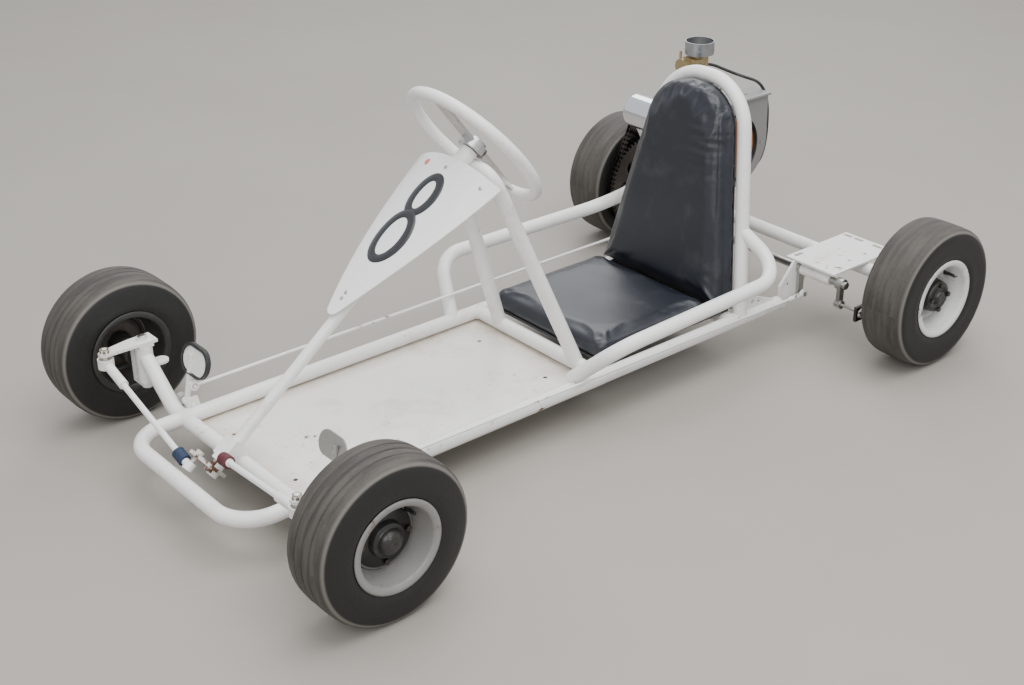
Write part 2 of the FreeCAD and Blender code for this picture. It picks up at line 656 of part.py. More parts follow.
def front_wheel(name, side):
    """Save the pieces of one front wheel."""
    centre = vec(side * FRONT_WHEEL_X, FRONT_Y, FRONT_TYRE_R)
    save(name + "_tyre", tyre(centre, FRONT_TYRE_R, FRONT_TREAD_HALF, FRONT_RIM_HALF, (-17, 0, 17)))
    save(name + "_rim", rim(centre, side, FRONT_RIM_HALF))
    save(name + "_hub", hub(centre, side, 56))


def rear_wheel(name, side):
    """Save the pieces of one rear wheel, the left hub carrying the brake drum."""
    centre = vec(side * REAR_WHEEL_X, REAR_Y, REAR_TYRE_R)
    save(name + "_tyre", tyre(centre, REAR_TYRE_R, REAR_TREAD_HALF, REAR_RIM_HALF, ()))
    save(name + "_rim", rim(centre, side, REAR_RIM_HALF))
    body = hub(centre, side, 78)
    if side > 0:
        body = fuse(body, brake_drum())
    save(name + "_hub", body)


DRUM_OUT_X = 340.0
DRUM_IN_X = 314.0
BRAKE_DRUM_R = 50.0


def brake_drum():
    """Return the steel drum on the inner end of the left rear hub."""
    middle = vec(0, REAR_Y, REAR_TYRE_R)
    outer = rod(middle + X_AXIS * DRUM_IN_X, middle + X_AXIS * DRUM_OUT_X, BRAKE_DRUM_R)
    hollow = rod(middle + X_AXIS * (DRUM_IN_X + 4), middle + X_AXIS * (DRUM_OUT_X + 1), BRAKE_DRUM_R - 4)
    core = rod(middle + X_AXIS * 300, middle + X_AXIS * 350, HUB_R - 1)
    return outer.cut(hollow).cut(core)


def rear_sprocket():
    """Toothed axle sprocket with lightening holes, fixed to the right rear hub."""
    middle = vec(CHAIN_X - 2, REAR_Y, REAR_TYRE_R)
    disc = rod(middle, middle + X_AXIS * 4, SPROCKET_R + 3)
    disc = disc.cut(rod(middle - X_AXIS, middle + X_AXIS * 6, HUB_R))
    cutters = []
    for index in range(SPROCKET_TEETH):
        turn = 2 * math.pi * index / SPROCKET_TEETH
        spot = middle + vec(-1, SPROCKET_R * math.cos(turn), SPROCKET_R * math.sin(turn))
        cutters.append(Part.makeCylinder(2.6, 6, spot, X_AXIS))
        gap = vec(-1, (SPROCKET_R + 3.4) * math.cos(turn), (SPROCKET_R + 3.4) * math.sin(turn))
        cutters.append(Part.makeCylinder(3.1, 6, middle + gap, X_AXIS))
    for index in range(8):
        turn = 2 * math.pi * index / 8
        spot = middle + vec(-1, 58 * math.cos(turn), 58 * math.sin(turn))
        cutters.append(Part.makeCylinder(13, 6, spot, X_AXIS))
    return disc.cut(Part.makeCompound(cutters))


# ---------------------------------------------------------------- seat
def hoop_half_width(z, inset):
    """Return half the hoop's centre-line width at height z, less an inset."""
    return RAIL_X + 2 - (RAIL_X + 2 - HOOP_CORNER_X) * (z - RAIL_Z) / (HOOP_TOP_Z - RAIL_Z) - inset


def seat_back_outline(bottom_z, inset, forward):
    """Return the round-topped seat back outline as a face in the hoop's leaning plane."""
    points = []
    for side, z in ((1, bottom_z), (1, HOOP_TOP_Z - inset), (-1, HOOP_TOP_Z - inset), (-1, bottom_z)):
        points.append(vec(side * hoop_half_width(z, inset), hoop_y(z) - forward, z))
    arch = bent_path([points[0], points[1], points[2], points[3]], HOOP_BEND - inset)
    closing = Part.LineSegment(points[3], points[0]).toShape()
    return Part.Face(Part.Wire(arch.Edges + [closing]))


def seat_boards():
    """Back board in front of the hoop and base board on the cross tubes."""
    back = seat_back_outline(92, 8, TUBE_R + 0.1).extrude(vec(0, -3, 3 * HOOP_LEAN))
    back = back.cut(hoop_solid())
    base = box(-150, 150, SEAT_FRONT_Y + TUBE_R + 1.5, REAR_TUBE_Y + 6, RAIL_TOP, RAIL_TOP + 4)
    return Part.makeCompound([back, base])


def seat_back_pad():
    """Tapered round-topped back cushion."""
    pad = seat_back_outline(92, 6, TUBE_R + 3.4).extrude(vec(0, -38, 38 * HOOP_LEAN))
    front = [edge for edge in pad.Edges if edge.BoundBox.YMax < pad.BoundBox.YMax - 30]
    face_edges = [edge for edge in front if abs(edge.CenterOfMass.y - (hoop_y(edge.CenterOfMass.z) - TUBE_R - 41)) < 9]
    return pad.makeFillet(16, face_edges)


def seat_base_pad():
    """Flat base cushion behind the front cross tube."""
    pad = box(-148, 148, SEAT_FRONT_Y + TUBE_R + 2, REAR_TUBE_Y - 40, RAIL_TOP + 4.3, RAIL_TOP + 34)
    upright = [edge for edge in pad.Edges if abs(edge.tangentAt(edge.FirstParameter).z) > 0.9]
    pad = pad.makeFillet(24, upright)
    top = [edge for edge in pad.Edges if edge.CenterOfMass.z > RAIL_TOP + 33]
    return pad.makeFillet(11, top)


# ---------------------------------------------------------------- pedals and linkages
PEDAL_ROD_ARM = 33.0
BRAKE_ROD_Z = BRAKE_PIVOT.z + PEDAL_ROD_ARM
BRAKE_ROD_X = 185.0
THROTTLE_ROD_Z = THROTTLE_PIVOT.z + PEDAL_ROD_ARM
THROTTLE_ROD_X = -180.0
PIN_R = 3.0
OPEN_EYE_R = 5.2
BRAKE_LEVER_ARM = 50.0
LEVER_EYE_Z = BRAKE_SHAFT_Z - BRAKE_LEVER_ARM
ROD_R = 2.5


def foot_plate(centre, half_length, radius, thickness):
    """Return an oval foot plate that faces the driver and leans back a little."""
    normal = vec(0, 1, -0.35).normalize()
    upward = normal.cross(X_AXIS) * -1
    ends = []
    corners = []
    for side in (-1, 1):
        ends.append(Part.makeCylinder(radius, thickness, centre + X_AXIS * (side * half_length), normal))
        corners.append(centre + X_AXIS * (side * half_length) - upward * (side * radius))
        corners.append(centre + X_AXIS * (side * half_length) + upward * (side * radius))
    return fuse(polygon(corners, normal * thickness), *ends)


def pedal(pivot, side, rod_x, rod_z, foot, half_length, radius, thickness):
    """Return a pedal: bored hub, arm, foot plate and the pin that pulls its rod."""
    arm_x = side * 196.0
    start = vec(side * (RAIL_X + 15), pivot.y, pivot.z)
    end = vec(side * (RAIL_X + 32), pivot.y, pivot.z)
    arm_top = vec(arm_x, foot.y + 1, foot.z + 8)
    arm = rod(vec(arm_x, pivot.y, pivot.z), arm_top, 5)
    reach = (rod_z - pivot.z) / (arm_top.z - pivot.z)
    pin_y = pivot.y + (arm_top.y - pivot.y) * reach
    pin = rod(vec(arm_x, pin_y, rod_z), vec(rod_x - side * 5, pin_y, rod_z), PIN_R)
    whole = fuse(rod(start, end, 8), arm, foot_plate(foot, half_length, radius, thickness), pin)
    bore = rod(vec(side * 140, pivot.y, pivot.z), vec(side * 240, pivot.y, pivot.z), PEDAL_PIN_R + RUN)
    return whole.cut(bore)


BRAKE_FOOT = BRAKE_PIVOT + vec(-3, 18, 96)
THROTTLE_FOOT = THROTTLE_PIVOT + vec(2, 16, 74)


def brake_pedal():
    """Left pedal with a bare oval foot plate."""
    return pedal(BRAKE_PIVOT, 1, BRAKE_ROD_X, BRAKE_ROD_Z, BRAKE_FOOT, 14, 20, 3)


def throttle_pedal():
    """Right pedal with a larger oval foot plate."""
    return pedal(THROTTLE_PIVOT, -1, THROTTLE_ROD_X, THROTTLE_ROD_Z, THROTTLE_FOOT, 14, 22, 3)


def throttle_pedal_rubber():
    """Rubber edging round the throttle pedal's foot plate."""
    outer = foot_plate(THROTTLE_FOOT - vec(0, 2.5, 0), 14, 26, 8)
    hollow = foot_plate(THROTTLE_FOOT - vec(0, 8, 0), 14, 22, 22)
    return outer.cut(hollow).cut(throttle_pedal())


def pin_y(pivot, rod_z, foot):
    """Return the Y of a pedal's rod pin."""
    return pivot.y + (foot.y + 1 - pivot.y) * (rod_z - pivot.z) / (foot.z + 8 - pivot.z)


def brake_rod():
    """Long pull rod outside the left rail, with an open eye at each end."""
    front = vec(BRAKE_ROD_X, pin_y(BRAKE_PIVOT, BRAKE_ROD_Z, BRAKE_FOOT), BRAKE_ROD_Z)
    rear = vec(BRAKE_ROD_X, BRAKE_SHAFT_Y, LEVER_EYE_Z)
    along = (rear - front).normalize()
    bar = rod(front, rear, ROD_R)
    grip = rod(rear - along * 40, rear, 4.5)
    eyes = [rod(end - X_AXIS * 3.5, end + X_AXIS * 3.5, 8) for end in (front, rear)]
    whole = fuse(bar, grip, *eyes)
    for end in (front, rear):
        whole = whole.cut(rod(end - X_AXIS * 10, end + X_AXIS * 10, OPEN_EYE_R))
    return whole


def brake_shaft():
    """Cross shaft with the pull lever, two collars and the wheel-brake lever."""
    def at(x, down=0.0):
        return vec(x, BRAKE_SHAFT_Y, BRAKE_SHAFT_Z - down)
    shaft = rod(at(-182), at(282), BRAKE_SHAFT_R)
    collars = [rod(at(x), at(x + 6), 11) for x in (-181, 158.5)]
    lever_hub = rod(at(171.5), at(178), 11)
    lever = box(172, 177.5, BRAKE_SHAFT_Y - 7, BRAKE_SHAFT_Y + 7, LEVER_EYE_Z, BRAKE_SHAFT_Z)
    lever_end = rod(at(172, BRAKE_LEVER_ARM), at(177.5, BRAKE_LEVER_ARM), 7)
    pin = rod(at(172, BRAKE_LEVER_ARM), at(191, BRAKE_LEVER_ARM), PIN_R)
    outer_hub = rod(at(262), at(276), 11)
    outer_lever = box(265, 273, BRAKE_SHAFT_Y - 6, BRAKE_SHAFT_Y + 6, BRAKE_SHAFT_Z - 38, BRAKE_SHAFT_Z)
    outer_end = rod(at(262, 40), at(276, 40), 8)
    stud = rod(at(262, 40), at(322, 40), 3)
    return fuse(shaft, *collars, lever_hub, lever, lever_end, pin, outer_hub, outer_lever, outer_end, stud)


BAND_X = 321.0
BAND_W = 14.0


def brake_band():
    """Open brake band round the drum, with a front ear that the lever's stud works in."""
    middle = vec(BAND_X - BAND_W / 2, REAR_Y, REAR_TYRE_R)
    band = rod(middle, middle + X_AXIS * BAND_W, BRAKE_DRUM_R + 4)
    band = band.cut(rod(middle, middle + X_AXIS * BAND_W, BRAKE_DRUM_R + 1.2))
    gap = box(BAND_X - 20, BAND_X + 20, REAR_Y - 70, REAR_Y - 40, REAR_TYRE_R - 40, REAR_TYRE_R - 27)
    band = band.cut(gap)
    low = BRAKE_SHAFT_Z - 40
    ear = box(BAND_X - 7, BAND_X - 1, BRAKE_SHAFT_Y - 14, REAR_Y - 26, low - 14, low + 14)
    ear = ear.cut(rod(vec(BAND_X - 20, BRAKE_SHAFT_Y, low), vec(BAND_X + 20, BRAKE_SHAFT_Y, low), 9.5))
    ear = ear.cut(rod(middle - X_AXIS, middle + X_AXIS * BAND_W, BRAKE_DRUM_R + 2))
    axle = rod(middle - X_AXIS * 40, middle, TUBE_R)
    strut = box(296, 300, REAR_Y + 4, REAR_Y + 59, 123, 139).cut(axle)
    foot = box(296, BAND_X - 2, REAR_Y + 53, REAR_Y + 59, 123, 139)
    band = band.cut(box(BAND_X - 20, BAND_X + 20, REAR_Y - 80, REAR_Y - 20, low + 14, low + 17))
    return fuse(band, ear, strut, foot)


FERRULE_Y = RAIL_END_Y - 27
WIRE_R = 1.0


def throttle_rod():
    """Long throttle rod over the right rail, its rear end thinned to enter the cable."""
    y0 = pin_y(THROTTLE_PIVOT, THROTTLE_ROD_Z, THROTTLE_FOOT)
    front = vec(THROTTLE_ROD_X, y0, THROTTLE_ROD_Z)
    rear = vec(THROTTLE_ROD_X, FERRULE_Y - 32, THROTTLE_ROD_Z)
    eye = rod(front - X_AXIS * 3.5, front + X_AXIS * 3.5, 8)
    wire = rod(rear, rear + Y_AXIS * 50, WIRE_R)
    clamp = rod(rear - Y_AXIS * 14, rear, 5)
    whole = fuse(rod(front, rear, ROD_R), eye, wire, clamp)
    return whole.cut(rod(front - X_AXIS * 10, front + X_AXIS * 10, OPEN_EYE_R))


CABLE_R = 2.5


def throttle_cable():
    """Cable housing from the throttle rod up to the carburettor."""
    start = vec(THROTTLE_ROD_X, FERRULE_Y, THROTTLE_ROD_Z)
    points = [
        start, vec(THROTTLE_ROD_X, FERRULE_Y + 28, THROTTLE_ROD_Z), vec(-130, RAIL_END_Y + 8, 215),
        vec(-104, RAIL_END_Y + 20, 300), vec(-100, RAIL_END_Y + 26, 440),
        vec(CARB_X + 13, CARB_Y - 15.5, CARB_BOTTOM + 20),
    ]
    print("throttle cable length", round(bent_path(points, 16).Length, 1))
    housing = bent_rod(points, 16, CABLE_R)
    ferrule = rod(start, start + Y_AXIS * 10, 4)
    ferrule = ferrule.cut(rod(start, start + Y_AXIS * 10, CABLE_R))
    socket = rod(start - Y_AXIS, start + Y_AXIS * 24, WIRE_R + 0.6)
    return fuse(housing, ferrule).cut(socket).cut(carburettor())


# ---------------------------------------------------------------- engine
CASE_R = 52.0
BARREL_R = 33.0
FIN_R = 45.0


def crank_axis(x):
    """Return the point of the crankshaft's axis at x."""
    return vec(x, CRANK_Y, CRANK_Z)


def engine_crankcase():
    """Crankcase with its mounting foot, bored for the crankshaft."""
    case = rod(crank_axis(-214), crank_axis(-120), CASE_R)
    pedestal = box(-210, -126, CRANK_Y - 34, CRANK_Y + 34, PLATE_TOP_Z + 10, CRANK_Z)
    foot = box(-256, -152, PLATE_FRONT + 12, PLATE_REAR - 12, PLATE_TOP_Z, PLATE_TOP_Z + 12)
    nose = rod(crank_axis(-262), crank_axis(-210), 24)
    whole = fuse(case, pedestal, foot, nose)
    return whole.cut(rod(crank_axis(-400), crank_axis(-60), SPINDLE_R + RUN))


def engine_cylinder():
    """Finned barrel and head with a spark plug and the inlet riser."""
    base = vec(ENGINE_X, CRANK_Y, CRANK_Z)
    case = rod(crank_axis(-214), crank_axis(-120), CASE_R)
    pieces = [rod(base + Z_AXIS * 30, base + Z_AXIS * 104, BARREL_R)]
    for index in range(5):
        low = base + Z_AXIS * (60 + index * 7.5)
        pieces.append(rod(low, low + Z_AXIS * 2.6, FIN_R))
    pieces.append(rod(base + Z_AXIS * 96, base + Z_AXIS * 110, FIN_R - 4))
    pieces.append(rod(base + Z_AXIS * 108, base + Z_AXIS * 118, 9))
    pieces.append(rod(base + Z_AXIS * 116, base + Z_AXIS * 138, 6))
    carb_base = vec(CARB_X, CARB_Y, CARB_BOTTOM)
    elbow = vec(CARB_X, CARB_Y, 346)
    riser = fuse(rod(carb_base, elbow, 9), Part.makeSphere(9.4, elbow), rod(elbow, vec(ENGINE_X, CRANK_Y, 339), 8.5))
    flange = box(CARB_X - 22, CARB_X + 22, CARB_Y - 15, CARB_Y + 15, CARB_BOTTOM - 5, CARB_BOTTOM)
    whole = fuse(*pieces, riser, flange)
    return whole.cut(case)


SHROUD_OUT_X = -72.0
SHROUD_IN_X = -116.0


def shroud_profile(x, inset):
    """Return the blower housing's outline as a face at the given x."""
    corners = [(94 - inset, 96 - inset), (97 - inset, 8), (10, -80 + inset), (-80 + inset, 0), (-62 + inset, 96 - inset)]
    here = [vec(x, CRANK_Y + y, CRANK_Z + z) for y, z in corners]
    edges = [
        Part.LineSegment(here[0], here[1]).toShape(),
        Part.Arc(here[1], here[2], here[3]).toShape(),
        Part.LineSegment(here[3], here[4]).toShape(),
        Part.LineSegment(here[4], here[0]).toShape(),
    ]
    return Part.Face(Part.Wire(edges))


def blower_housing():
    """Hollow cooling shroud on the engine's inner side, open round the flywheel."""
    outer = shroud_profile(SHROUD_IN_X, 0).extrude(vec(SHROUD_OUT_X - SHROUD_IN_X, 0, 0))
    hollow = shroud_profile(SHROUD_IN_X + 2.5, 3).extrude(vec(SHROUD_OUT_X - SHROUD_IN_X - 5, 0, 0))
    body = outer.cut(hollow)
    body = body.cut(rod(crank_axis(SHROUD_OUT_X - 5), crank_axis(SHROUD_OUT_X + 5), 72))
    body = body.cut(rod(crank_axis(SHROUD_IN_X - 5), crank_axis(SHROUD_IN_X + 5), 30))
    cap_edge = box(SHROUD_IN_X, SHROUD_OUT_X + 6, CRANK_Y - 62, CRANK_Y + 96, CRANK_Z + 96, CRANK_Z + 100)
    bridge = rod(crank_axis(-121), crank_axis(SHROUD_IN_X + 1), 44)
    bridge = bridge.cut(rod(crank_axis(-130), crank_axis(-60), 30))
    body = fuse(body, cap_edge, bridge)
    return body.cut(rod(crank_axis(-214), crank_axis(-120), CASE_R))


def flywheel():
    """Flywheel with its fins and the crankshaft."""
    disc = rod(crank_axis(-92), crank_axis(-82), 66)
    rim_ring = tube(crank_axis(-82), crank_axis(-78), 66, 10)
    centre = rod(crank_axis(-82), crank_axis(-74), 18)
    shaft = rod(crank_axis(-344), crank_axis(-74), SPINDLE_R)
    fins = []
    for index in range(12):
        turn = 360.0 * index / 12
        fin = box(-100, -91, CRANK_Y - 1.5, CRANK_Y + 1.5, CRANK_Z + 34, CRANK_Z + 64)
        fin.rotate(crank_axis(0), X_AXIS, turn)
        fins.append(fin)
    return fuse(disc, rim_ring, centre, shaft, *fins)


def clutch_drum():
    """Clutch drum with its small sprocket, free to turn on the crankshaft."""
    drum = rod(crank_axis(-322), crank_axis(-266), 38)
    sprocket_disc = rod(crank_axis(CHAIN_X - 2), crank_axis(CHAIN_X + 2), DRUM_R + 2.5)
    cutters = []
    for index in range(DRUM_TEETH):
        turn = 2 * math.pi * (index + 0.5) / DRUM_TEETH
        y = CRANK_Y + DRUM_R * math.cos(turn)
        z = CRANK_Z + DRUM_R * math.sin(turn)
        cutters.append(Part.makeCylinder(2.7, 10, vec(CHAIN_X - 5, y, z), X_AXIS))
    sprocket_disc = sprocket_disc.cut(Part.makeCompound(cutters))
    neck = rod(crank_axis(CHAIN_X), crank_axis(-320), DRUM_R - 4.6)
    whole = fuse(drum, sprocket_disc, neck)
    return whole.cut(rod(crank_axis(-400), crank_axis(-100), SPINDLE_R + RUN))


def chain_loop(offset):
    """Return the closed outline round both sprockets, offset from the pitch line."""
    big = vec(0, REAR_Y, REAR_TYRE_R)
    small = vec(0, CRANK_Y, CRANK_Z)
    line = small - big
    lean = math.atan2(line.z, line.y)
    spread = math.acos((SPROCKET_R - DRUM_R) / line.Length)

    def on(centre, radius, turn):
        return centre + vec(0, math.cos(turn) * radius, math.sin(turn) * radius)
    r_big = SPROCKET_R + offset
    r_small = DRUM_R + offset
    edges = [
        Part.LineSegment(on(big, r_big, lean + spread), on(small, r_small, lean + spread)).toShape(),
        Part.Arc(on(small, r_small, lean + spread), on(small, r_small, lean), on(small, r_small, lean - spread)).toShape(),
        Part.LineSegment(on(small, r_small, lean - spread), on(big, r_big, lean - spread)).toShape(),
        Part.Arc(on(big, r_big, lean - spread), on(big, r_big, lean + math.pi), on(big, r_big, lean + spread)).toShape(),
    ]
    return Part.Face(Part.Wire(edges))


def drive_chain():
    """Chain drawn as its two side-plate loops, clear of the teeth between them."""
    loops = []
    for x in (CHAIN_X - 4.4, CHAIN_X + 2.6):
        ring = chain_loop(4).cut(chain_loop(-4)).extrude(vec(1.8, 0, 0))
        ring.translate(vec(x, 0, 0))
        loops.append(ring)
    return Part.makeCompound(loops)


CARB_X = -126.0
CARB_Y = CRANK_Y - 63
CARB_BOTTOM = 432.0
CARB_TOP = 470.5
CUP_Y = CARB_Y + 12


def carburettor():
    """Downdraft carburettor body with its float cover, needle and throttle stop."""
    body = box(CARB_X - 17, CARB_X + 17, CARB_Y - 14, CARB_Y + 20, CARB_BOTTOM, CARB_TOP - 6)
    neck = rod(vec(CARB_X, CUP_Y, CARB_TOP - 8), vec(CARB_X, CUP_Y, CARB_TOP), 17)
    cover = rod(vec(CARB_X - 12, CARB_Y - 26, CARB_BOTTOM + 17), vec(CARB_X - 12, CARB_Y - 12, CARB_BOTTOM + 17), 14)
    needle = rod(vec(CARB_X - 26, CARB_Y, CARB_BOTTOM + 14), vec(CARB_X - 10, CARB_Y, CARB_BOTTOM + 14), 3.5)
    post = rod(vec(CARB_X - 20, CARB_Y - 18, CARB_BOTTOM + 20), vec(CARB_X - 20, CARB_Y - 18, CARB_TOP + 6), 2.5)
    return fuse(body, neck, cover, needle, post)


def air_cup():
    """Open cup on top of the carburettor."""
    bottom = vec(CARB_X, CUP_Y, CARB_TOP)
    cup = rod(bottom, bottom + Z_AXIS * 24.5, 28)
    hollow = rod(bottom + Z_AXIS * 2, bottom + Z_AXIS * 26.5, 26.2)
    throat = rod(bottom - Z_AXIS, bottom + Z_AXIS * 5, 13)
    rib = tube(bottom + Z_AXIS * 8, bottom + Z_AXIS * 10, 29, 2)
    return fuse(cup.cut(hollow), rib).cut(throat)


def exhaust_can():
    """Polished round-ended can in front of the cylinder, with its neck to the port."""
    can_y = CRANK_Y - 124
    start = vec(-226, can_y, 350)
    end = vec(-136, can_y, 350)
    can = rod(start, end, 33)
    can = can.makeFillet(10, can.Edges[0:1] + can.Edges[2:3])
    neck = bent_rod([vec(-200, can_y, 322), vec(-200, can_y + 23, 278), vec(-185, CRANK_Y - 40, 300)], 22, 12)
    case = rod(crank_axis(-214), crank_axis(-120), CASE_R)
    return fuse(can, neck).cut(case)


LEAD_R = 3.0


def ignition_lead():
    """Black lead from the plug over the shroud's rear edge and back under it."""
    plug = vec(ENGINE_X, CRANK_Y, CRANK_Z + 142)
    points = [
        plug, plug + vec(0, 0, 20), vec(-128, CRANK_Y + 62, CRANK_Z + 128),
        vec(-86, CRANK_Y + 107, CRANK_Z + 110), vec(-80, CRANK_Y + 110, CRANK_Z - 6),
        vec(-84, CRANK_Y + 86, CRANK_Z - 66), vec(-118, CRANK_Y + 44, CRANK_Z - 88),
    ]
    print("ignition lead length", round(bent_path(points, 14).Length, 1))
    lead = bent_rod(points, 14, LEAD_R)
    cap = rod(plug - Z_AXIS * 12, plug + Z_AXIS * 6, 9)
    plug_body = rod(plug - Z_AXIS * 30, plug - Z_AXIS * 4, 6)
    return fuse(lead, cap).cut(plug_body)


# ---------------------------------------------------------------- build
FRAME_PIECES = (
    ("front_axle_beam", front_axle_beam), ("front_bumper", front_bumper), ("cross_tubes", cross_tubes),
    ("floor_pan", floor_pan), ("seat_hoop", seat_hoop), ("rail_brackets", rail_brackets),
    ("rear_axle", rear_axle),
    ("left_engine_plate", left_engine_plate), ("steering_support", steering_support),
    ("number_panel", number_panel), ("kingpin_bolts", kingpin_bolts), ("seat_boards", seat_boards),
    ("seat_back_pad", seat_back_pad), ("seat_base_pad", seat_base_pad),
)
STEERING_PIECES = (
    ("steering_shaft", steering_shaft), ("steering_ring", steering_ring),
    ("steering_spoke", steering_spoke), ("pitman_plate", pitman_plate),
)
CONTROL_PIECES = (
    ("brake_pedal", brake_pedal), ("brake_rod", brake_rod), ("brake_shaft", brake_shaft),
    ("brake_band", brake_band), ("throttle_pedal", throttle_pedal),
    ("throttle_pedal_rubber", throttle_pedal_rubber), ("throttle_rod", throttle_rod),
    ("throttle_cable", throttle_cable),
)
ENGINE_PIECES = (
    ("engine_crankcase", engine_crankcase), ("engine_cylinder", engine_cylinder),
    ("blower_housing", blower_housing), ("flywheel", flywheel), ("clutch_drum", clutch_drum),
    ("drive_chain", drive_chain), ("rear_sprocket", rear_sprocket), ("carburettor", carburettor),
    ("air_cup", air_cup), ("exhaust_can", exhaust_can), ("ignition_lead", ignition_lead),
)


def main():
    """Build and save every piece."""
    os.makedirs("parts", exist_ok=True)
    for group in (FRAME_PIECES, STEERING_PIECES, CONTROL_PIECES, ENGINE_PIECES):
        for node, make in group:
            save(node, make())
    save("right_engine_plate", mirrored(engine_plate()))
    save("left_knuckle", knuckle())
    save("right_knuckle", mirrored(knuckle()))
    for name, side in (("left", 1), ("right", -1)):
        save(name + "_main_rail", main_rail(side))
        save(name + "_side_bar", side_bar(side))
        save(name + "_tie_rod", tie_rod(side))
        save(name + "_tie_rod_boot", tie_rod_boot(side))
        front_wheel("front_" + name, side)
        rear_wheel("rear_" + name, side)


main()
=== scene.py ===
"""Looks of the vintage tube-frame racing kart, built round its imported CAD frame.

Metres.  +X is the driver's left, the nose points along -Y and the floor is Z = 0.
"""

import logging
import math
from dataclasses import dataclass, field
from enum import Enum
from typing import Callable, Iterable, Sequence

import bmesh
import bpy
from mathutils import Matrix, Vector, noise


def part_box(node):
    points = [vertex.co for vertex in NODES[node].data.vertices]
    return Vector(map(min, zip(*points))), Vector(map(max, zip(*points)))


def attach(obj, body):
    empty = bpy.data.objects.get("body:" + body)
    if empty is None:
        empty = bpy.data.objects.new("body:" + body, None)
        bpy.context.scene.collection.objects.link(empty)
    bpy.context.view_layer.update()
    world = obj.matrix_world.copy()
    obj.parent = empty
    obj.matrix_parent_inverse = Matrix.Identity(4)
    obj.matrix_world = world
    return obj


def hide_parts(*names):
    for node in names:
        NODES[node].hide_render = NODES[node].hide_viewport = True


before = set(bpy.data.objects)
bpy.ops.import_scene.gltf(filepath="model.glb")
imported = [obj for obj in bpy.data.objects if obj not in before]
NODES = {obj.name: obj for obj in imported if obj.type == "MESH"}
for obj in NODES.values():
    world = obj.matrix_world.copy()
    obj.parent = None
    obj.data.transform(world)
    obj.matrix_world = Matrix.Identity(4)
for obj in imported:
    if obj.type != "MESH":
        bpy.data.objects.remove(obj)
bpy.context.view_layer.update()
LOG = logging.getLogger("kart")
MM = 0.001
UP = Vector((0, 0, 1))
LEFTWARD = Vector((1, 0, 0))
REARWARD = Vector((0, 1, 0))
Colour = tuple[float, float, float]


class Side(Enum):
    """Side of the kart, as the sign of X."""

    LEFT = 1
    RIGHT = -1


# ---------------------------------------------------------------- node tree helpers
class Tree:
    """Thin wrapper that adds and links nodes of one node tree."""

    def __init__(self, tree: bpy.types.NodeTree) -> None:
        """Keep the tree."""
        self.tree = tree

    def add(self, kind: str, **settings: object) -> bpy.types.Node:
        """Add a node and set its properties.

        Args:
            kind: Blender's node type name.
            settings: properties of the node.

        Returns:
            The new node.
        """
        node = self.tree.nodes.new(kind)
        for name, value in settings.items():
            setattr(node, name, value)
        return node

    def link(self, source: bpy.types.NodeSocket, target: bpy.types.NodeSocket) -> None:
        """Link two sockets."""
        self.tree.links.new(source, target)

    def feed(self, value: object, target: bpy.types.NodeSocket) -> None:
        """Link a socket to an input, or set the input to a plain value."""
        if isinstance(value, bpy.types.NodeSocket):
            self.link(value, target)
        else:
            target.default_value = value

    def math(self, operation: str, first: object, second: object = None) -> bpy.types.NodeSocket:
        """Add a math node.

        Args:
            operation: the math operation.
            first: a socket or a number.
            second: a socket, a number or nothing.

        Returns:
            The result socket.
        """
        node = self.add("ShaderNodeMath", operation=operation)
        for index, value in enumerate((first, second)):
            if value is not None:
                self.feed(value, node.inputs[index])
        return node.outputs[0]

    def ramp(self, value: bpy.types.NodeSocket, low: object, high: object) -> bpy.types.NodeSocket:
        """Return a smooth 0 to 1 step of a value between two limits."""
        node = self.add("ShaderNodeMapRange", interpolation_type="SMOOTHSTEP")
        self.link(value, node.inputs["Value"])
        self.feed(low, node.inputs["From Min"])
        self.feed(high, node.inputs["From Max"])
        return node.outputs["Result"]

    def mix(self, factor: object, first: object, second: object) -> bpy.types.NodeSocket:
        """Return the colour mix of two colours or sockets."""
        node = self.add("ShaderNodeMix", data_type="RGBA")
        self.feed(factor, node.inputs[0])
        for index, value in ((6, first), (7, second)):
            plain = not isinstance(value, bpy.types.NodeSocket)
            self.feed((*value, 1.0) if plain else value, node.inputs[index])
        return node.outputs[2]

    def noise(self, vector: bpy.types.NodeSocket, scale: object, detail: float,
              rough: float) -> bpy.types.NodeSocket:
        """Return a noise value on a vector."""
        node = self.add("ShaderNodeTexNoise")
        node.inputs["Detail"].default_value = detail
        node.inputs["Roughness"].default_value = rough
        self.link(vector, node.inputs["Vector"])
        self.feed(scale, node.inputs["Scale"])
        return node.outputs[0]

    def group(self, group: bpy.types.NodeTree, vector: bpy.types.NodeSocket,
              values: dict[str, object]) -> bpy.types.Node:
        """Place a node group on a vector.

        Args:
            group: the node group.
            vector: the coordinates it works on.
            values: plain values of its other inputs.

        Returns:
            The group's node.
        """
        node = self.add("ShaderNodeGroup", node_tree=group)
        self.link(vector, node.inputs["Vector"])
        for name, value in values.items():
            node.inputs[name].default_value = value
        return node


SocketSpec = tuple[str, str, object]


def shader_group(name: str, inputs: Sequence[SocketSpec], outputs: Sequence[tuple[str, str]]) -> tuple:
    """Create a shader node group with named sockets.

    Args:
        name: the group's name.
        inputs: (name, socket type, default) of every input.
        outputs: (name, socket type) of every output.

    Returns:
        The group, its Tree wrapper, its input node and its output node.
    """
    group = bpy.data.node_groups.new(name, "ShaderNodeTree")
    for label, kind, default in inputs:
        socket = group.interface.new_socket(label, in_out="INPUT", socket_type=kind)
        if default is not None:
            socket.default_value = default
    for label, kind in outputs:
        group.interface.new_socket(label, in_out="OUTPUT", socket_type=kind)
    tree = Tree(group)
    return group, tree, tree.add("NodeGroupInput"), tree.add("NodeGroupOutput")


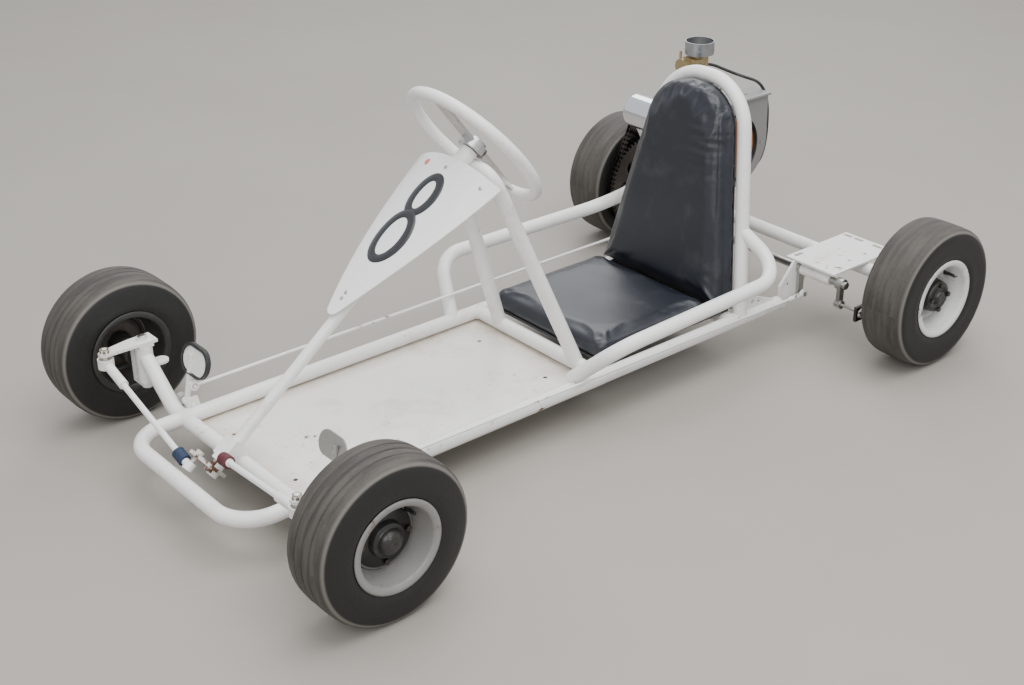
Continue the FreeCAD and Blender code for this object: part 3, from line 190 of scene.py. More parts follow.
FLOAT = "NodeSocketFloat"
COLOUR = "NodeSocketColor"
VECTOR = "NodeSocketVector"
WHOLE = "NodeSocketInt"
ROTATION = "NodeSocketRotation"


def wear_group() -> bpy.types.NodeTree:
    """Build the chipped and stained paint effect, used by every painted piece."""
    group, tree, source, sink = shader_group(
        "worn paint",
        [("Vector", VECTOR, None),
         ("Paint", COLOUR, (0.7, 0.7, 0.7, 1)), ("Stain", COLOUR, (0.3, 0.2, 0.1, 1)),
         ("Chip", COLOUR, (0.1, 0.05, 0.03, 1)), ("Chip Scale", FLOAT, 60.0), ("Chip Amount", FLOAT, 0.3),
         ("Stain Amount", FLOAT, 0.3), ("Extra Stain", FLOAT, 0.0)],
        [("Color", COLOUR), ("Chips", FLOAT), ("Roughness", FLOAT), ("Height", FLOAT)],
    )
    vector = source.outputs["Vector"]
    fine = tree.noise(vector, source.outputs["Chip Scale"], 5.0, 0.62)
    broad = tree.noise(vector, 7.0, 3.0, 0.55)
    threshold = tree.math("SUBTRACT", 0.80, tree.math("MULTIPLY", source.outputs["Chip Amount"], 0.22))
    patchy = tree.math("ADD", fine, tree.math("MULTIPLY", tree.math("SUBTRACT", broad, 0.5), 0.55))
    chips = tree.ramp(patchy, threshold, tree.math("ADD", threshold, 0.025))
    halo = tree.ramp(patchy, tree.math("SUBTRACT", threshold, 0.09), threshold)
    cloud = tree.ramp(tree.noise(vector, 11.0, 6.0, 0.7), 0.50, 0.78)
    stain = tree.math("MULTIPLY", cloud, source.outputs["Stain Amount"])
    stain = tree.math("ADD", stain, tree.math("MULTIPLY", halo, 0.28))
    smear = tree.math("MULTIPLY", source.outputs["Extra Stain"], tree.noise(vector, 38.0, 6.0, 0.7))
    stain = tree.math("MINIMUM", tree.math("ADD", stain, smear), 1.0)
    grime = tree.noise(vector, 150.0, 3.0, 0.6)
    tone = tree.mix(tree.math("MULTIPLY", grime, 0.16), source.outputs["Paint"], source.outputs["Stain"])
    colour = tree.mix(stain, tone, source.outputs["Stain"])
    colour = tree.mix(chips, colour, source.outputs["Chip"])
    tree.link(colour, sink.inputs["Color"])
    tree.link(chips, sink.inputs["Chips"])
    rough = tree.math("ADD", tree.math("MULTIPLY", broad, 0.24), tree.math("MULTIPLY", chips, 0.35))
    tree.link(tree.math("ADD", rough, tree.math("MULTIPLY", stain, 0.2)), sink.inputs["Roughness"])
    peel = tree.math("MULTIPLY", grime, 0.12)
    tree.link(tree.math("SUBTRACT", peel, tree.math("MULTIPLY", chips, 0.8)), sink.inputs["Height"])
    return group


def radial_group() -> bpy.types.NodeTree:
    """Build the round-the-axle effect: distance from a wheel's axle, and streaks along the tread."""
    group, tree, source, sink = shader_group(
        "round the axle",
        [("Vector", VECTOR, None), ("Centre", VECTOR, None), ("Inner", FLOAT, 0.1), ("Outer", FLOAT, 0.12)],
        [("Mask", FLOAT), ("Streaks", FLOAT)],
    )
    away = tree.add("ShaderNodeVectorMath", operation="SUBTRACT")
    tree.link(source.outputs["Vector"], away.inputs[0])
    tree.link(source.outputs["Centre"], away.inputs[1])
    parts = tree.add("ShaderNodeSeparateXYZ")
    tree.link(away.outputs[0], parts.inputs[0])
    squared = tree.math("ADD", tree.math("MULTIPLY", parts.outputs[1], parts.outputs[1]),
                        tree.math("MULTIPLY", parts.outputs[2], parts.outputs[2]))
    radius = tree.math("SQRT", squared)
    tree.link(tree.ramp(radius, source.outputs["Inner"], source.outputs["Outer"]), sink.inputs["Mask"])
    turn = tree.math("ARCTAN2", parts.outputs[2], parts.outputs[1])
    along = tree.add("ShaderNodeCombineXYZ")
    tree.link(tree.math("MULTIPLY", parts.outputs[0], 90.0), along.inputs[0])
    tree.link(tree.math("MULTIPLY", turn, 1.3), along.inputs[1])
    tree.link(tree.math("MULTIPLY", radius, 60.0), along.inputs[2])
    tree.link(tree.noise(along.outputs[0], 1.0, 4.0, 0.6), sink.inputs["Streaks"])
    return group


def grain_group() -> bpy.types.NodeTree:
    """Build the pebbled leather-cloth grain with broad soft dents."""
    group, tree, source, sink = shader_group(
        "pebbled grain",
        [("Vector", VECTOR, None), ("Scale", FLOAT, 700.0), ("Dents", FLOAT, 0.3)],
        [("Height", FLOAT), ("Shade", FLOAT)],
    )
    cells = tree.add("ShaderNodeTexVoronoi", feature="SMOOTH_F1")
    tree.link(source.outputs["Vector"], cells.inputs["Vector"])
    tree.link(source.outputs["Scale"], cells.inputs["Scale"])
    broad = tree.noise(source.outputs["Vector"], 16.0, 3.0, 0.5)
    dents = tree.math("MULTIPLY", broad, source.outputs["Dents"])
    tree.link(tree.math("ADD", tree.math("MULTIPLY", cells.outputs[0], 0.25), dents), sink.inputs["Height"])
    tree.link(tree.noise(source.outputs["Vector"], 24.0, 5.0, 0.6), sink.inputs["Shade"])
    return group


WEAR = wear_group()
RADIAL = radial_group()
GRAIN = grain_group()


# ---------------------------------------------------------------- finishes
@dataclass(frozen=True)
class Finish:
    """A named surface finish that can build its own material."""

    name: str
    colour: Colour

    def start(self) -> tuple[bpy.types.Material, Tree, bpy.types.Node, bpy.types.NodeSocket]:
        """Create the material.

        Returns:
            The material, its tree, its shader and the object coordinates.
        """
        material = bpy.data.materials.new(self.name)
        material.use_nodes = True
        tree = Tree(material.node_tree)
        shader = material.node_tree.nodes["Principled BSDF"]
        place = tree.add("ShaderNodeTexCoord").outputs["Object"]
        material.diffuse_color = (*self.colour, 1.0)
        return material, tree, shader, place

    def bump(self, tree: Tree, shader: bpy.types.Node, height: bpy.types.NodeSocket, depth: float) -> None:
        """Feed a height to the shader's normal through a bump node."""
        node = tree.add("ShaderNodeBump")
        node.inputs["Strength"].default_value = 0.6
        node.inputs["Distance"].default_value = depth
        tree.link(height, node.inputs["Height"])
        tree.link(node.outputs[0], shader.inputs["Normal"])


@dataclass(frozen=True)
class Paint(Finish):
    """Aged brush or spray paint with chips and stains."""

    stain: Colour = (0.34, 0.22, 0.12)
    chip: Colour = (0.12, 0.055, 0.03)
    gloss: float = 0.32
    chips: float = 0.35
    stains: float = 0.25
    chip_scale: float = 55.0
    coat: float = 0.15

    def extra_stain(self, tree: Tree, place: bpy.types.NodeSocket) -> bpy.types.NodeSocket | None:
        """Return a further stain mask, or nothing."""
        return None

    def build(self) -> bpy.types.Material:
        """Build the paint's material."""
        material, tree, shader, place = self.start()
        wear = tree.group(WEAR, place, {
            "Paint": (*self.colour, 1), "Stain": (*self.stain, 1), "Chip": (*self.chip, 1),
            "Chip Amount": self.chips, "Chip Scale": self.chip_scale, "Stain Amount": self.stains,
        })
        more = self.extra_stain(tree, place)
        if more is not None:
            tree.link(more, wear.inputs["Extra Stain"])
        tree.link(wear.outputs["Color"], shader.inputs["Base Color"])
        tree.link(tree.math("ADD", wear.outputs["Roughness"], self.gloss - 0.1), shader.inputs["Roughness"])
        shader.inputs["Coat Weight"].default_value = self.coat
        shader.inputs["Coat Roughness"].default_value = 0.15
        self.bump(tree, shader, wear.outputs["Height"], 0.0006)
        return material


@dataclass(frozen=True)
class PanPaint(Paint):
    """Floor pan paint, dirty along its edges and at both ends."""

    half_width: float = 0.165
    middle: float = -0.295
    half_length: float = 0.305

    def extra_stain(self, tree: Tree, place: bpy.types.NodeSocket) -> bpy.types.NodeSocket:
        """Return the dirt that gathers along the pan's rim."""
        parts = tree.add("ShaderNodeSeparateXYZ")
        tree.link(place, parts.inputs[0])
        across = tree.math("DIVIDE", tree.math("ABSOLUTE", parts.outputs[0]), self.half_width)
        along = tree.math("ABSOLUTE", tree.math("SUBTRACT", parts.outputs[1], self.middle))
        along = tree.math("DIVIDE", along, self.half_length)
        rim = tree.ramp(tree.math("MAXIMUM", across, along), 0.74, 1.02)
        return tree.math("MULTIPLY", rim, 0.95)


@dataclass(frozen=True)
class Metal(Finish):
    """Bare or plated metal with dull patches and a little rust."""

    rough: float = 0.32
    metallic: float = 1.0
    tarnish: Colour = (0.14, 0.10, 0.07)
    tarnish_amount: float = 0.35
    spot_scale: float = 110.0

    def build(self) -> bpy.types.Material:
        """Build the metal's material."""
        material, tree, shader, place = self.start()
        wear = tree.group(WEAR, place, {
            "Paint": (*self.colour, 1), "Stain": (*self.tarnish, 1), "Chip": (*self.tarnish, 1),
            "Chip Scale": self.spot_scale, "Chip Amount": self.tarnish_amount,
            "Stain Amount": self.tarnish_amount * 0.8,
        })
        tree.link(wear.outputs["Color"], shader.inputs["Base Color"])
        tree.link(tree.math("ADD", wear.outputs["Roughness"], self.rough - 0.1), shader.inputs["Roughness"])
        metal = tree.math("SUBTRACT", 1.0, tree.math("MULTIPLY", wear.outputs["Chips"], 0.8))
        tree.link(tree.math("MULTIPLY", metal, self.metallic), shader.inputs["Metallic"])
        self.bump(tree, shader, wear.outputs["Height"], 0.0004)
        return material


@dataclass(frozen=True)
class Rubber(Finish):
    """Plain moulded rubber with dust."""

    dust: Colour = (0.16, 0.15, 0.13)
    rough: float = 0.6

    def build(self) -> bpy.types.Material:
        """Build the rubber's material."""
        material, tree, shader, place = self.start()
        cloud = tree.ramp(tree.noise(place, 60.0, 5.0, 0.65), 0.48, 0.8)
        dusty = tree.mix(tree.math("MULTIPLY", cloud, 0.4), self.colour, self.dust)
        tree.link(dusty, shader.inputs["Base Color"])
        tree.link(tree.math("ADD", tree.math("MULTIPLY", cloud, 0.2), self.rough), shader.inputs["Roughness"])
        self.bump(tree, shader, tree.noise(place, 500.0, 3.0, 0.6), 0.0003)
        return material


@dataclass(frozen=True)
class Vinyl(Finish):
    """Padded seat cloth: dark vinyl with a fine pebbled grain and soft sheen."""

    rough: float = 0.36
    dust: Colour = (0.06, 0.06, 0.065)
    grain_scale: float = 620.0
    dents: float = 0.6

    def build(self) -> bpy.types.Material:
        """Build the vinyl's material."""
        material, tree, shader, place = self.start()
        grain = tree.group(GRAIN, place, {"Scale": self.grain_scale, "Dents": self.dents})
        worn = tree.ramp(grain.outputs["Shade"], 0.5, 0.8)
        dusty = tree.mix(tree.math("MULTIPLY", worn, 0.35), self.colour, self.dust)
        tree.link(dusty, shader.inputs["Base Color"])
        tree.link(tree.math("ADD", tree.math("MULTIPLY", worn, 0.14), self.rough), shader.inputs["Roughness"])
        shader.inputs["Coat Weight"].default_value = 0.12
        shader.inputs["Coat Roughness"].default_value = 0.3
        self.bump(tree, shader, grain.outputs["Height"], 0.0009)
        return material


@dataclass(frozen=True)
class TyreRubber(Finish):
    """Worn racing tyre: black sides and a dusty, streaked tread."""

    centre: tuple[float, float, float] = (0.0, 0.0, 0.0)
    radius: float = 0.13
    tread: Colour = (0.105, 0.092, 0.078)
    # colour of the lighter band laid along the tyre's shoulder
    shoulder_tone: Colour = (0.22, 0.205, 0.18)
    dusty: float = 0.75

    def build(self) -> bpy.types.Material:
        """Build the tyre's material."""
        material, tree, shader, place = self.start()
        radial = tree.group(RADIAL, place, {
            "Centre": self.centre, "Inner": self.radius - 0.011, "Outer": self.radius - 0.003,
        })
        streak = tree.ramp(radial.outputs["Streaks"], 0.32, 0.68)
        speck = tree.ramp(tree.noise(place, 130.0, 5.0, 0.7), 0.42, 0.72)
        worn = tree.math("MULTIPLY", tree.math("ADD", tree.math("MULTIPLY", streak, 0.6), 0.4), self.dusty)
        worn = tree.math("MULTIPLY", worn, radial.outputs["Mask"])
        side = tree.math("MULTIPLY", tree.math("MULTIPLY", speck, streak), 0.07)
        # a lighter band is laid along the shoulder, where the mask ramps from sidewall to tread
        past = tree.math("SUBTRACT", 1.0, radial.outputs["Mask"])
        shoulder = tree.math("MULTIPLY", tree.math("MULTIPLY", radial.outputs["Mask"], past), 2.4)
        amount = tree.math("MINIMUM", tree.math("ADD", worn, side), 1.0)
        tone = tree.mix(tree.math("MULTIPLY", speck, 0.5), self.tread, (0.07, 0.063, 0.056))
        tread = tree.mix(amount, self.colour, tone)
        tree.link(tree.mix(shoulder, tread, self.shoulder_tone), shader.inputs["Base Color"])
        tree.link(tree.math("ADD", tree.math("MULTIPLY", amount, 0.35), 0.5), shader.inputs["Roughness"])
        scuff = tree.math("ADD", tree.noise(place, 260.0, 5.0, 0.7), radial.outputs["Streaks"])
        self.bump(tree, shader, scuff, 0.0012)
        return material


@dataclass(frozen=True)
class WheelPaint(Paint):
    """Wheel paint, grimy towards the hub."""

    centre: tuple[float, float, float] = (0.0, 0.0, 0.0)
    grease_inner: float = 0.030
    grease_outer: float = 0.068

    def extra_stain(self, tree: Tree, place: bpy.types.NodeSocket) -> bpy.types.NodeSocket:
        """Return the grease thrown out round the hub."""
        radial = tree.group(RADIAL, place, {
            "Centre": self.centre, "Inner": self.grease_inner, "Outer": self.grease_outer,
        })
        near_hub = tree.math("SUBTRACT", 1.0, radial.outputs["Mask"])
        streaky = tree.math("ADD", tree.math("MULTIPLY", radial.outputs["Streaks"], 0.8), 0.3)
        return tree.math("MULTIPLY", tree.math("MULTIPLY", near_hub, streaky), 1.9)


WHITE = (0.83, 0.83, 0.815)
FINISHES: tuple[Finish, ...] = (
    Paint("frame white", WHITE, stain=(0.42, 0.31, 0.20), stains=0.36),
    Paint("flaking white", (0.60, 0.57, 0.52), stain=(0.20, 0.11, 0.06), chips=0.9, stains=0.7, gloss=0.5),
    PanPaint("pan white", (0.80, 0.785, 0.745), stains=0.32, chips=0.22, gloss=0.42, chip_scale=90.0,
             stain=(0.36, 0.235, 0.13)),
    Paint("panel white", (0.86, 0.86, 0.85), chips=0.10, stains=0.06, gloss=0.22, coat=0.35),
    Paint("numeral black", (0.012, 0.012, 0.015), stain=(0.08, 0.08, 0.08), chips=0.1, stains=0.15,
          gloss=0.3),
    Paint("old pink", (0.62, 0.16, 0.13), chips=0.2, gloss=0.5),
    Paint("shroud grey", (0.20, 0.205, 0.21), chips=0.5, stains=0.35, gloss=0.4),
    Paint("greasy black", (0.012, 0.012, 0.012), stain=(0.07, 0.06, 0.05), chip=(0.16, 0.13, 0.10), chips=0.5,
          stains=0.6, gloss=0.38),
    Paint("board black", (0.02, 0.02, 0.022), stain=(0.06, 0.055, 0.05), chips=0.3, gloss=0.5),
    Metal("zinc", (0.50, 0.50, 0.48), rough=0.30),
    Metal("bright spoke", (0.62, 0.62, 0.62), rough=0.22, tarnish_amount=0.2),
    Metal("rusty hardware", (0.30, 0.27, 0.23), rough=0.50, metallic=0.7, tarnish=(0.14, 0.075, 0.04),
          tarnish_amount=0.9),
    Metal("oily steel", (0.10, 0.09, 0.085), rough=0.36, tarnish=(0.05, 0.03, 0.02), tarnish_amount=0.6),
    Metal("cast metal", (0.22, 0.22, 0.215), rough=0.5, metallic=0.8, tarnish=(0.07, 0.06, 0.05),
          tarnish_amount=0.9),
    Metal("carburettor metal", (0.44, 0.35, 0.20), rough=0.40, metallic=0.85, tarnish=(0.06, 0.05, 0.035),
          tarnish_amount=0.8),
    Metal("cup aluminium", (0.42, 0.43, 0.45), rough=0.36, tarnish=(0.16, 0.16, 0.16), tarnish_amount=0.6),
    Metal("polished aluminium", (0.74, 0.75, 0.77), rough=0.16, tarnish=(0.35, 0.35, 0.35),
          tarnish_amount=0.25),
    Metal("rusty iron", (0.30, 0.13, 0.055), rough=0.62, metallic=0.25, tarnish=(0.17, 0.06, 0.02),
          tarnish_amount=0.9),
    Rubber("black rubber", (0.015, 0.015, 0.017)),
    Rubber("maroon rubber", (0.09, 0.012, 0.018), dust=(0.12, 0.07, 0.06)),
    Rubber("blue rubber", (0.010, 0.024, 0.065), dust=(0.07, 0.085, 0.11)),
    Rubber("plug ceramic", (0.62, 0.61, 0.58), dust=(0.3, 0.28, 0.25), rough=0.3),
    Vinyl("seat vinyl", (0.010, 0.012, 0.018)),
)


class Shop:
    """Keeps one built material for each finish."""

    def __init__(self, finishes: Iterable[Finish]) -> None:
        """Remember the finishes by name."""
        self.finishes = {finish.name: finish for finish in finishes}
        self.built: dict[str, bpy.types.Material] = {}

    def get(self, name: str) -> bpy.types.Material:
        """Return the material of a finish, built on first use."""
        if name not in self.built:
            self.built[name] = self.finishes[name].build()
        return self.built[name]

    def dress(self, node: str, name: str) -> None:
        """Give a CAD node a finish."""
        slots = NODES[node].data.materials
        slots.clear()
        slots.append(self.get(name))


SHOP = Shop(FINISHES)


# ---------------------------------------------------------------- mesh helpers
def new_object(name: str, mesh: bpy.types.Mesh, finish: str | bpy.types.Material,
               smooth: bool = True) -> bpy.types.Object:
    """Link a mesh as a finished piece.

    Args:
        name: the piece's name.
        mesh: its mesh, in place.
        finish: a finish name or a material.
        smooth: whether its faces are shaded smooth.

    Returns:
        The new object.
    """
    obj = bpy.data.objects.new(name, mesh)
    bpy.context.scene.collection.objects.link(obj)
    mesh.materials.clear()
    mesh.materials.append(SHOP.get(finish) if isinstance(finish, str) else finish)
    for polygon in mesh.polygons:
        polygon.use_smooth = smooth
    return obj


def keep_on(obj: bpy.types.Object, body: str, slot: str, *replaced: str) -> bpy.types.Object:
    """Let a piece ride a body and hide the CAD nodes it stands for."""
    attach(obj, body)
    if replaced:
        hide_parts(*replaced)
    LOG.info("%s rides %s with %d faces", obj.name, body, len(obj.data.polygons))
    return obj


def basis(axis: Vector) -> Matrix:
    """Return a turn that takes +X to the axis."""
    return axis.to_track_quat("X", "Z").to_matrix().to_4x4()


def turned_mesh(name: str, profile: Sequence[tuple[float, float]], centre: Vector, axis: Vector,
                steps: int = 72) -> bpy.types.Mesh:
    """Turn a closed outline round an axis.

    Args:
        name: the mesh's name.
        profile: closed outline of (along the axis, radius) pairs.
        centre: a point on the axis.
        axis: the axis direction.
        steps: how many steps make a full turn.

    Returns:
        The closed mesh, in place.
    """
    build = bmesh.new()
    place = Matrix.Translation(centre) @ basis(axis.normalized())
    rings = []
    for step in range(steps):
        turn = 2 * math.pi * step / steps
        points = [Vector((x, r * math.cos(turn), r * math.sin(turn))) for x, r in profile]
        rings.append([build.verts.new(place @ point) for point in points])
    for step in range(steps):
        here, there = rings[step], rings[(step + 1) % steps]
        for index in range(len(profile)):
            after = (index + 1) % len(profile)
            build.faces.new((here[index], here[after], there[after], there[index]))
    bmesh.ops.remove_doubles(build, verts=build.verts, dist=1e-6)
    bmesh.ops.recalc_face_normals(build, faces=build.faces)
    mesh = bpy.data.meshes.new(name)
    build.to_mesh(mesh)
    build.free()
    return mesh


def rounded(points: Sequence[tuple[float, float]], rounds: int = 2) -> list[tuple[float, float]]:
    """Return a closed outline with its corners cut and cut again, so that it looks rolled."""
    outline = list(points)
    for _ in range(rounds):
        softer = []
        for (x0, y0), (x1, y1) in zip(outline, outline[1:] + outline[:1]):
            softer.append((x0 * 0.75 + x1 * 0.25, y0 * 0.75 + y1 * 0.25))
            softer.append((x0 * 0.25 + x1 * 0.75, y0 * 0.25 + y1 * 0.75))
        outline = softer
    return outline


def curve_mesh(name: str, points: Sequence[Vector], radius: float, closed: bool = False) -> bpy.types.Mesh:
    """Return a round tube along a smooth spline."""
    curve = bpy.data.curves.new(name, "CURVE")
    curve.dimensions = "3D"
    curve.bevel_depth = radius
    curve.bevel_resolution = 4
    curve.resolution_u = 8
    curve.use_fill_caps = True
    spline = curve.splines.new("NURBS")
    spline.points.add(len(points) - 1)
    for target, point in zip(spline.points, points):
        target.co = (*point, 1.0)
    spline.order_u = 3
    spline.use_endpoint_u = not closed
    spline.use_cyclic_u = closed
    holder = bpy.data.objects.new(name, curve)
    bpy.context.scene.collection.objects.link(holder)
    mesh = bpy.data.meshes.new_from_object(holder.evaluated_get(bpy.context.evaluated_depsgraph_get()))
    bpy.data.objects.remove(holder)
    return mesh


# ---------------------------------------------------------------- geometry node makers
class Grower:
    """Builds a Geometry Nodes tree with named inputs and turns its result into a mesh."""

    def __init__(self, name: str) -> None:
        """Start a tree with a geometry output."""
        self.name = name
        self.group = bpy.data.node_groups.new(name, "GeometryNodeTree")
        self.group.interface.new_socket("Geometry", in_out="INPUT", socket_type="NodeSocketGeometry")
        self.group.interface.new_socket("Geometry", in_out="OUTPUT", socket_type="NodeSocketGeometry")
        self.tree = Tree(self.group)
        self.values: dict[str, object] = {}
        self.identifiers: dict[str, str] = {}
        self.source: bpy.types.Node | None = None

    def sizes(self, rows: Iterable[tuple[str, str, object]]) -> None:
        """Add named inputs, each with its kind and the value it is used with."""
        for name, kind, value in rows:
            socket = self.group.interface.new_socket(name, in_out="INPUT", socket_type=kind)
            self.values[name] = value
            self.identifiers[name] = socket.identifier

    def inputs(self) -> bpy.types.Node:
        """Return the tree's input node, made once every size is named."""
        if self.source is None:
            self.source = self.tree.add("NodeGroupInput")
        return self.source

    def move(self, geometry: bpy.types.NodeSocket) -> bpy.types.NodeSocket:
        """Turn and move geometry by the inputs Turn and Place."""
        node = self.tree.add("GeometryNodeTransform")
        self.tree.link(geometry, node.inputs["Geometry"])
        self.tree.link(self.inputs().outputs["Place"], node.inputs["Translation"])
        self.tree.link(self.inputs().outputs["Turn"], node.inputs["Rotation"])
        return node.outputs[0]

    def finish(self, geometry: bpy.types.NodeSocket, material: bpy.types.Material) -> None:
        """End the tree in Realize Instances and Set Material."""
        real = self.tree.add("GeometryNodeRealizeInstances")
        paint = self.tree.add("GeometryNodeSetMaterial")
        paint.inputs["Material"].default_value = material
        sink = self.tree.add("NodeGroupOutput")
        self.tree.link(geometry, real.inputs[0])
        self.tree.link(real.outputs[0], paint.inputs[0])
        self.tree.link(paint.outputs[0], sink.inputs[0])

    def grow(self, base: bpy.types.Mesh | None = None) -> bpy.types.Mesh:
        """Run the tree on a base mesh.

        Args:
            base: the mesh the tree starts from, or nothing.

        Returns:
            The resulting plain mesh.
        """
        start = base or bpy.data.meshes.new(self.name + " start")
        holder = bpy.data.objects.new(self.name, start)
        bpy.context.scene.collection.objects.link(holder)
        modifier = holder.modifiers.new("grow", "NODES")
        modifier.node_group = self.group
        for name, value in self.values.items():
            modifier[self.identifiers[name]] = value
        mesh = bpy.data.meshes.new_from_object(holder.evaluated_get(bpy.context.evaluated_depsgraph_get()))
        holder.modifiers.remove(modifier)
        bpy.data.objects.remove(holder)
        return mesh


def heads_on_circle(name: str, finish: str, centre: Vector, axis: Vector, count: int, ring: float,
                    head: float, height: float, corners: int = 6) -> bpy.types.Mesh:
    """Grow a circle of bolt heads or nuts.

    Args:
        name: the tree's name.
        finish: the heads' finish.
        centre: middle of the circle.
        axis: direction the heads stand up in.
        count: how many heads.
        ring: radius of the circle.
        head: radius of one head.
        height: height of one head.
        corners: 6 for a hexagon, more for a round head.

    Returns:
        The mesh of all the heads.
    """
    grower = Grower(name)
    turn = tuple(axis.to_track_quat("Z", "Y").to_euler())
    grower.sizes((
        ("Count", WHOLE, count), ("Ring", FLOAT, ring), ("Head", FLOAT, head), ("Height", FLOAT, height),
        ("Corners", WHOLE, corners), ("Place", VECTOR, tuple(centre)), ("Turn", ROTATION, turn),
    ))
    tree, source = grower.tree, grower.inputs()
    circle = tree.add("GeometryNodeMeshCircle")
    tree.link(source.outputs["Count"], circle.inputs["Vertices"])
    tree.link(source.outputs["Ring"], circle.inputs["Radius"])
    body = tree.add("GeometryNodeMeshCylinder")
    tree.link(source.outputs["Corners"], body.inputs["Vertices"])
    tree.link(source.outputs["Head"], body.inputs["Radius"])
    tree.link(source.outputs["Height"], body.inputs["Depth"])
    copies = tree.add("GeometryNodeInstanceOnPoints")
    tree.link(circle.outputs["Mesh"], copies.inputs["Points"])
    tree.link(body.outputs["Mesh"], copies.inputs["Instance"])
    grower.finish(grower.move(copies.outputs[0]), SHOP.get(finish))
    return grower.grow()


def coil_spring(name: str, finish: str, start: Vector, end: Vector, radius: float, wire: float,
                turns: float) -> bpy.types.Mesh:
    """Grow a coil spring between two points.

    Args:
        name: the tree's name.
        finish: the wire's finish.
        start: one end of the coil's axis.
        end: the other end of the axis.
        radius: the coil's radius at the middle of the wire.
        wire: radius of the wire.
        turns: how many turns the coil has.

    Returns:
        The coil's mesh.
    """
    grower = Grower(name)
    length = (end - start).length
    turn = tuple((end - start).to_track_quat("Z", "Y").to_euler())
    grower.sizes((
        ("Turns", FLOAT, turns), ("Radius", FLOAT, radius), ("Length", FLOAT, length),
        ("Wire", FLOAT, wire), ("Place", VECTOR, tuple(start)), ("Turn", ROTATION, turn),
    ))
    tree, source = grower.tree, grower.inputs()
    spiral = tree.add("GeometryNodeCurveSpiral")
    spiral.inputs["Resolution"].default_value = 16
    tree.link(source.outputs["Turns"], spiral.inputs["Rotations"])
    tree.link(source.outputs["Radius"], spiral.inputs["Start Radius"])
    tree.link(source.outputs["Radius"], spiral.inputs["End Radius"])
    tree.link(source.outputs["Length"], spiral.inputs["Height"])
    section = tree.add("GeometryNodeCurvePrimitiveCircle")
    section.inputs["Resolution"].default_value = 8
    tree.link(source.outputs["Wire"], section.inputs["Radius"])
    sweep = tree.add("GeometryNodeCurveToMesh")
    sweep.inputs["Fill Caps"].default_value = True
    tree.link(spiral.outputs[0], sweep.inputs["Curve"])
    tree.link(section.outputs[0], sweep.inputs["Profile Curve"])
    grower.finish(grower.move(sweep.outputs[0]), SHOP.get(finish))
    return grower.grow()


def closed_path(name: str, path: Sequence[Vector]) -> bpy.types.Mesh:
    """Return a mesh of edges only that joins the points of a closed path."""
    loop = bpy.data.meshes.new(name)
    count = len(path)
    loop.from_pydata([tuple(p) for p in path], [(i, (i + 1) % count) for i in range(count)], [])
    return loop


def weld_bead(name: str, finish: str, path: Sequence[Vector], size: float, seed: int) -> bpy.types.Mesh:
    """Grow the rippled bead of a weld along a closed path.

    Args:
        name: the tree's name.
        finish: the bead's finish.
        path: the closed path's points.
        size: height of the bead.
        seed: seed of the ripple sizes.

    Returns:
        The bead's mesh.
    """
    grower = Grower(name)
    grower.sizes((("Size", FLOAT, size), ("Seed", WHOLE, seed)))
    tree, source = grower.tree, grower.inputs()
    curve = tree.add("GeometryNodeMeshToCurve")
    tree.link(source.outputs["Geometry"], curve.inputs["Mesh"])
    spread = tree.add("GeometryNodeResampleCurve", mode="LENGTH")
    tree.link(curve.outputs[0], spread.inputs["Curve"])
    tree.link(tree.math("MULTIPLY", source.outputs["Size"], 1.15), spread.inputs["Length"])
    drop = tree.add("GeometryNodeMeshIcoSphere")
    drop.inputs["Subdivisions"].default_value = 2
    tree.link(source.outputs["Size"], drop.inputs["Radius"])
    vary = tree.add("FunctionNodeRandomValue", data_type="FLOAT")
    vary.inputs[2].default_value = 0.8
    vary.inputs[3].default_value = 1.2
    tree.link(source.outputs["Seed"], vary.inputs["Seed"])
    copies = tree.add("GeometryNodeInstanceOnPoints")
    tree.link(spread.outputs[0], copies.inputs["Points"])
    tree.link(drop.outputs[0], copies.inputs["Instance"])
    tree.link(vary.outputs[1], copies.inputs["Scale"])
    grower.finish(copies.outputs[0], SHOP.get(finish))
    return grower.grow(closed_path(name + " path", path))


# ---------------------------------------------------------------- positions shared by the classes
BOXES = {name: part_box(name) for name in NODES}


def box(node: str) -> tuple[Vector, Vector]:
    """Return the lowest and highest corners of a CAD node."""
    low, high = BOXES[node]
    return low.copy(), high.copy()


def middle(node: str) -> Vector:
    """Return the middle of a CAD node's box."""
    low, high = box(node)
    return (low + high) / 2


FRONT_AXLE = middle("front_left_tyre")
COLUMN_SLOPE = math.radians(38.0)
COLUMN = Vector((0, math.cos(COLUMN_SLOPE), math.sin(COLUMN_SLOPE)))
COLUMN_UP = Vector((0, -math.sin(COLUMN_SLOPE), math.cos(COLUMN_SLOPE)))
WHEEL_MIDDLE = middle("steering_ring")
RAIL = Vector((0.168, 0, middle("cross_tubes").z))
TUBE_R = 0.0127
HOOP_LEAN = 0.16            # how far the seat hoop leans back for its height
HOOP_TAPER = 0.196          # how far each of its legs closes in for its height


def on_column(down: float, side: float = 0.0, up: float = 0.0) -> Vector:
    """Return a point by its distance down the column, to the left and above the axis."""
    return WHEEL_MIDDLE - COLUMN * down + COLUMN_UP * up + Vector((side, 0, 0))


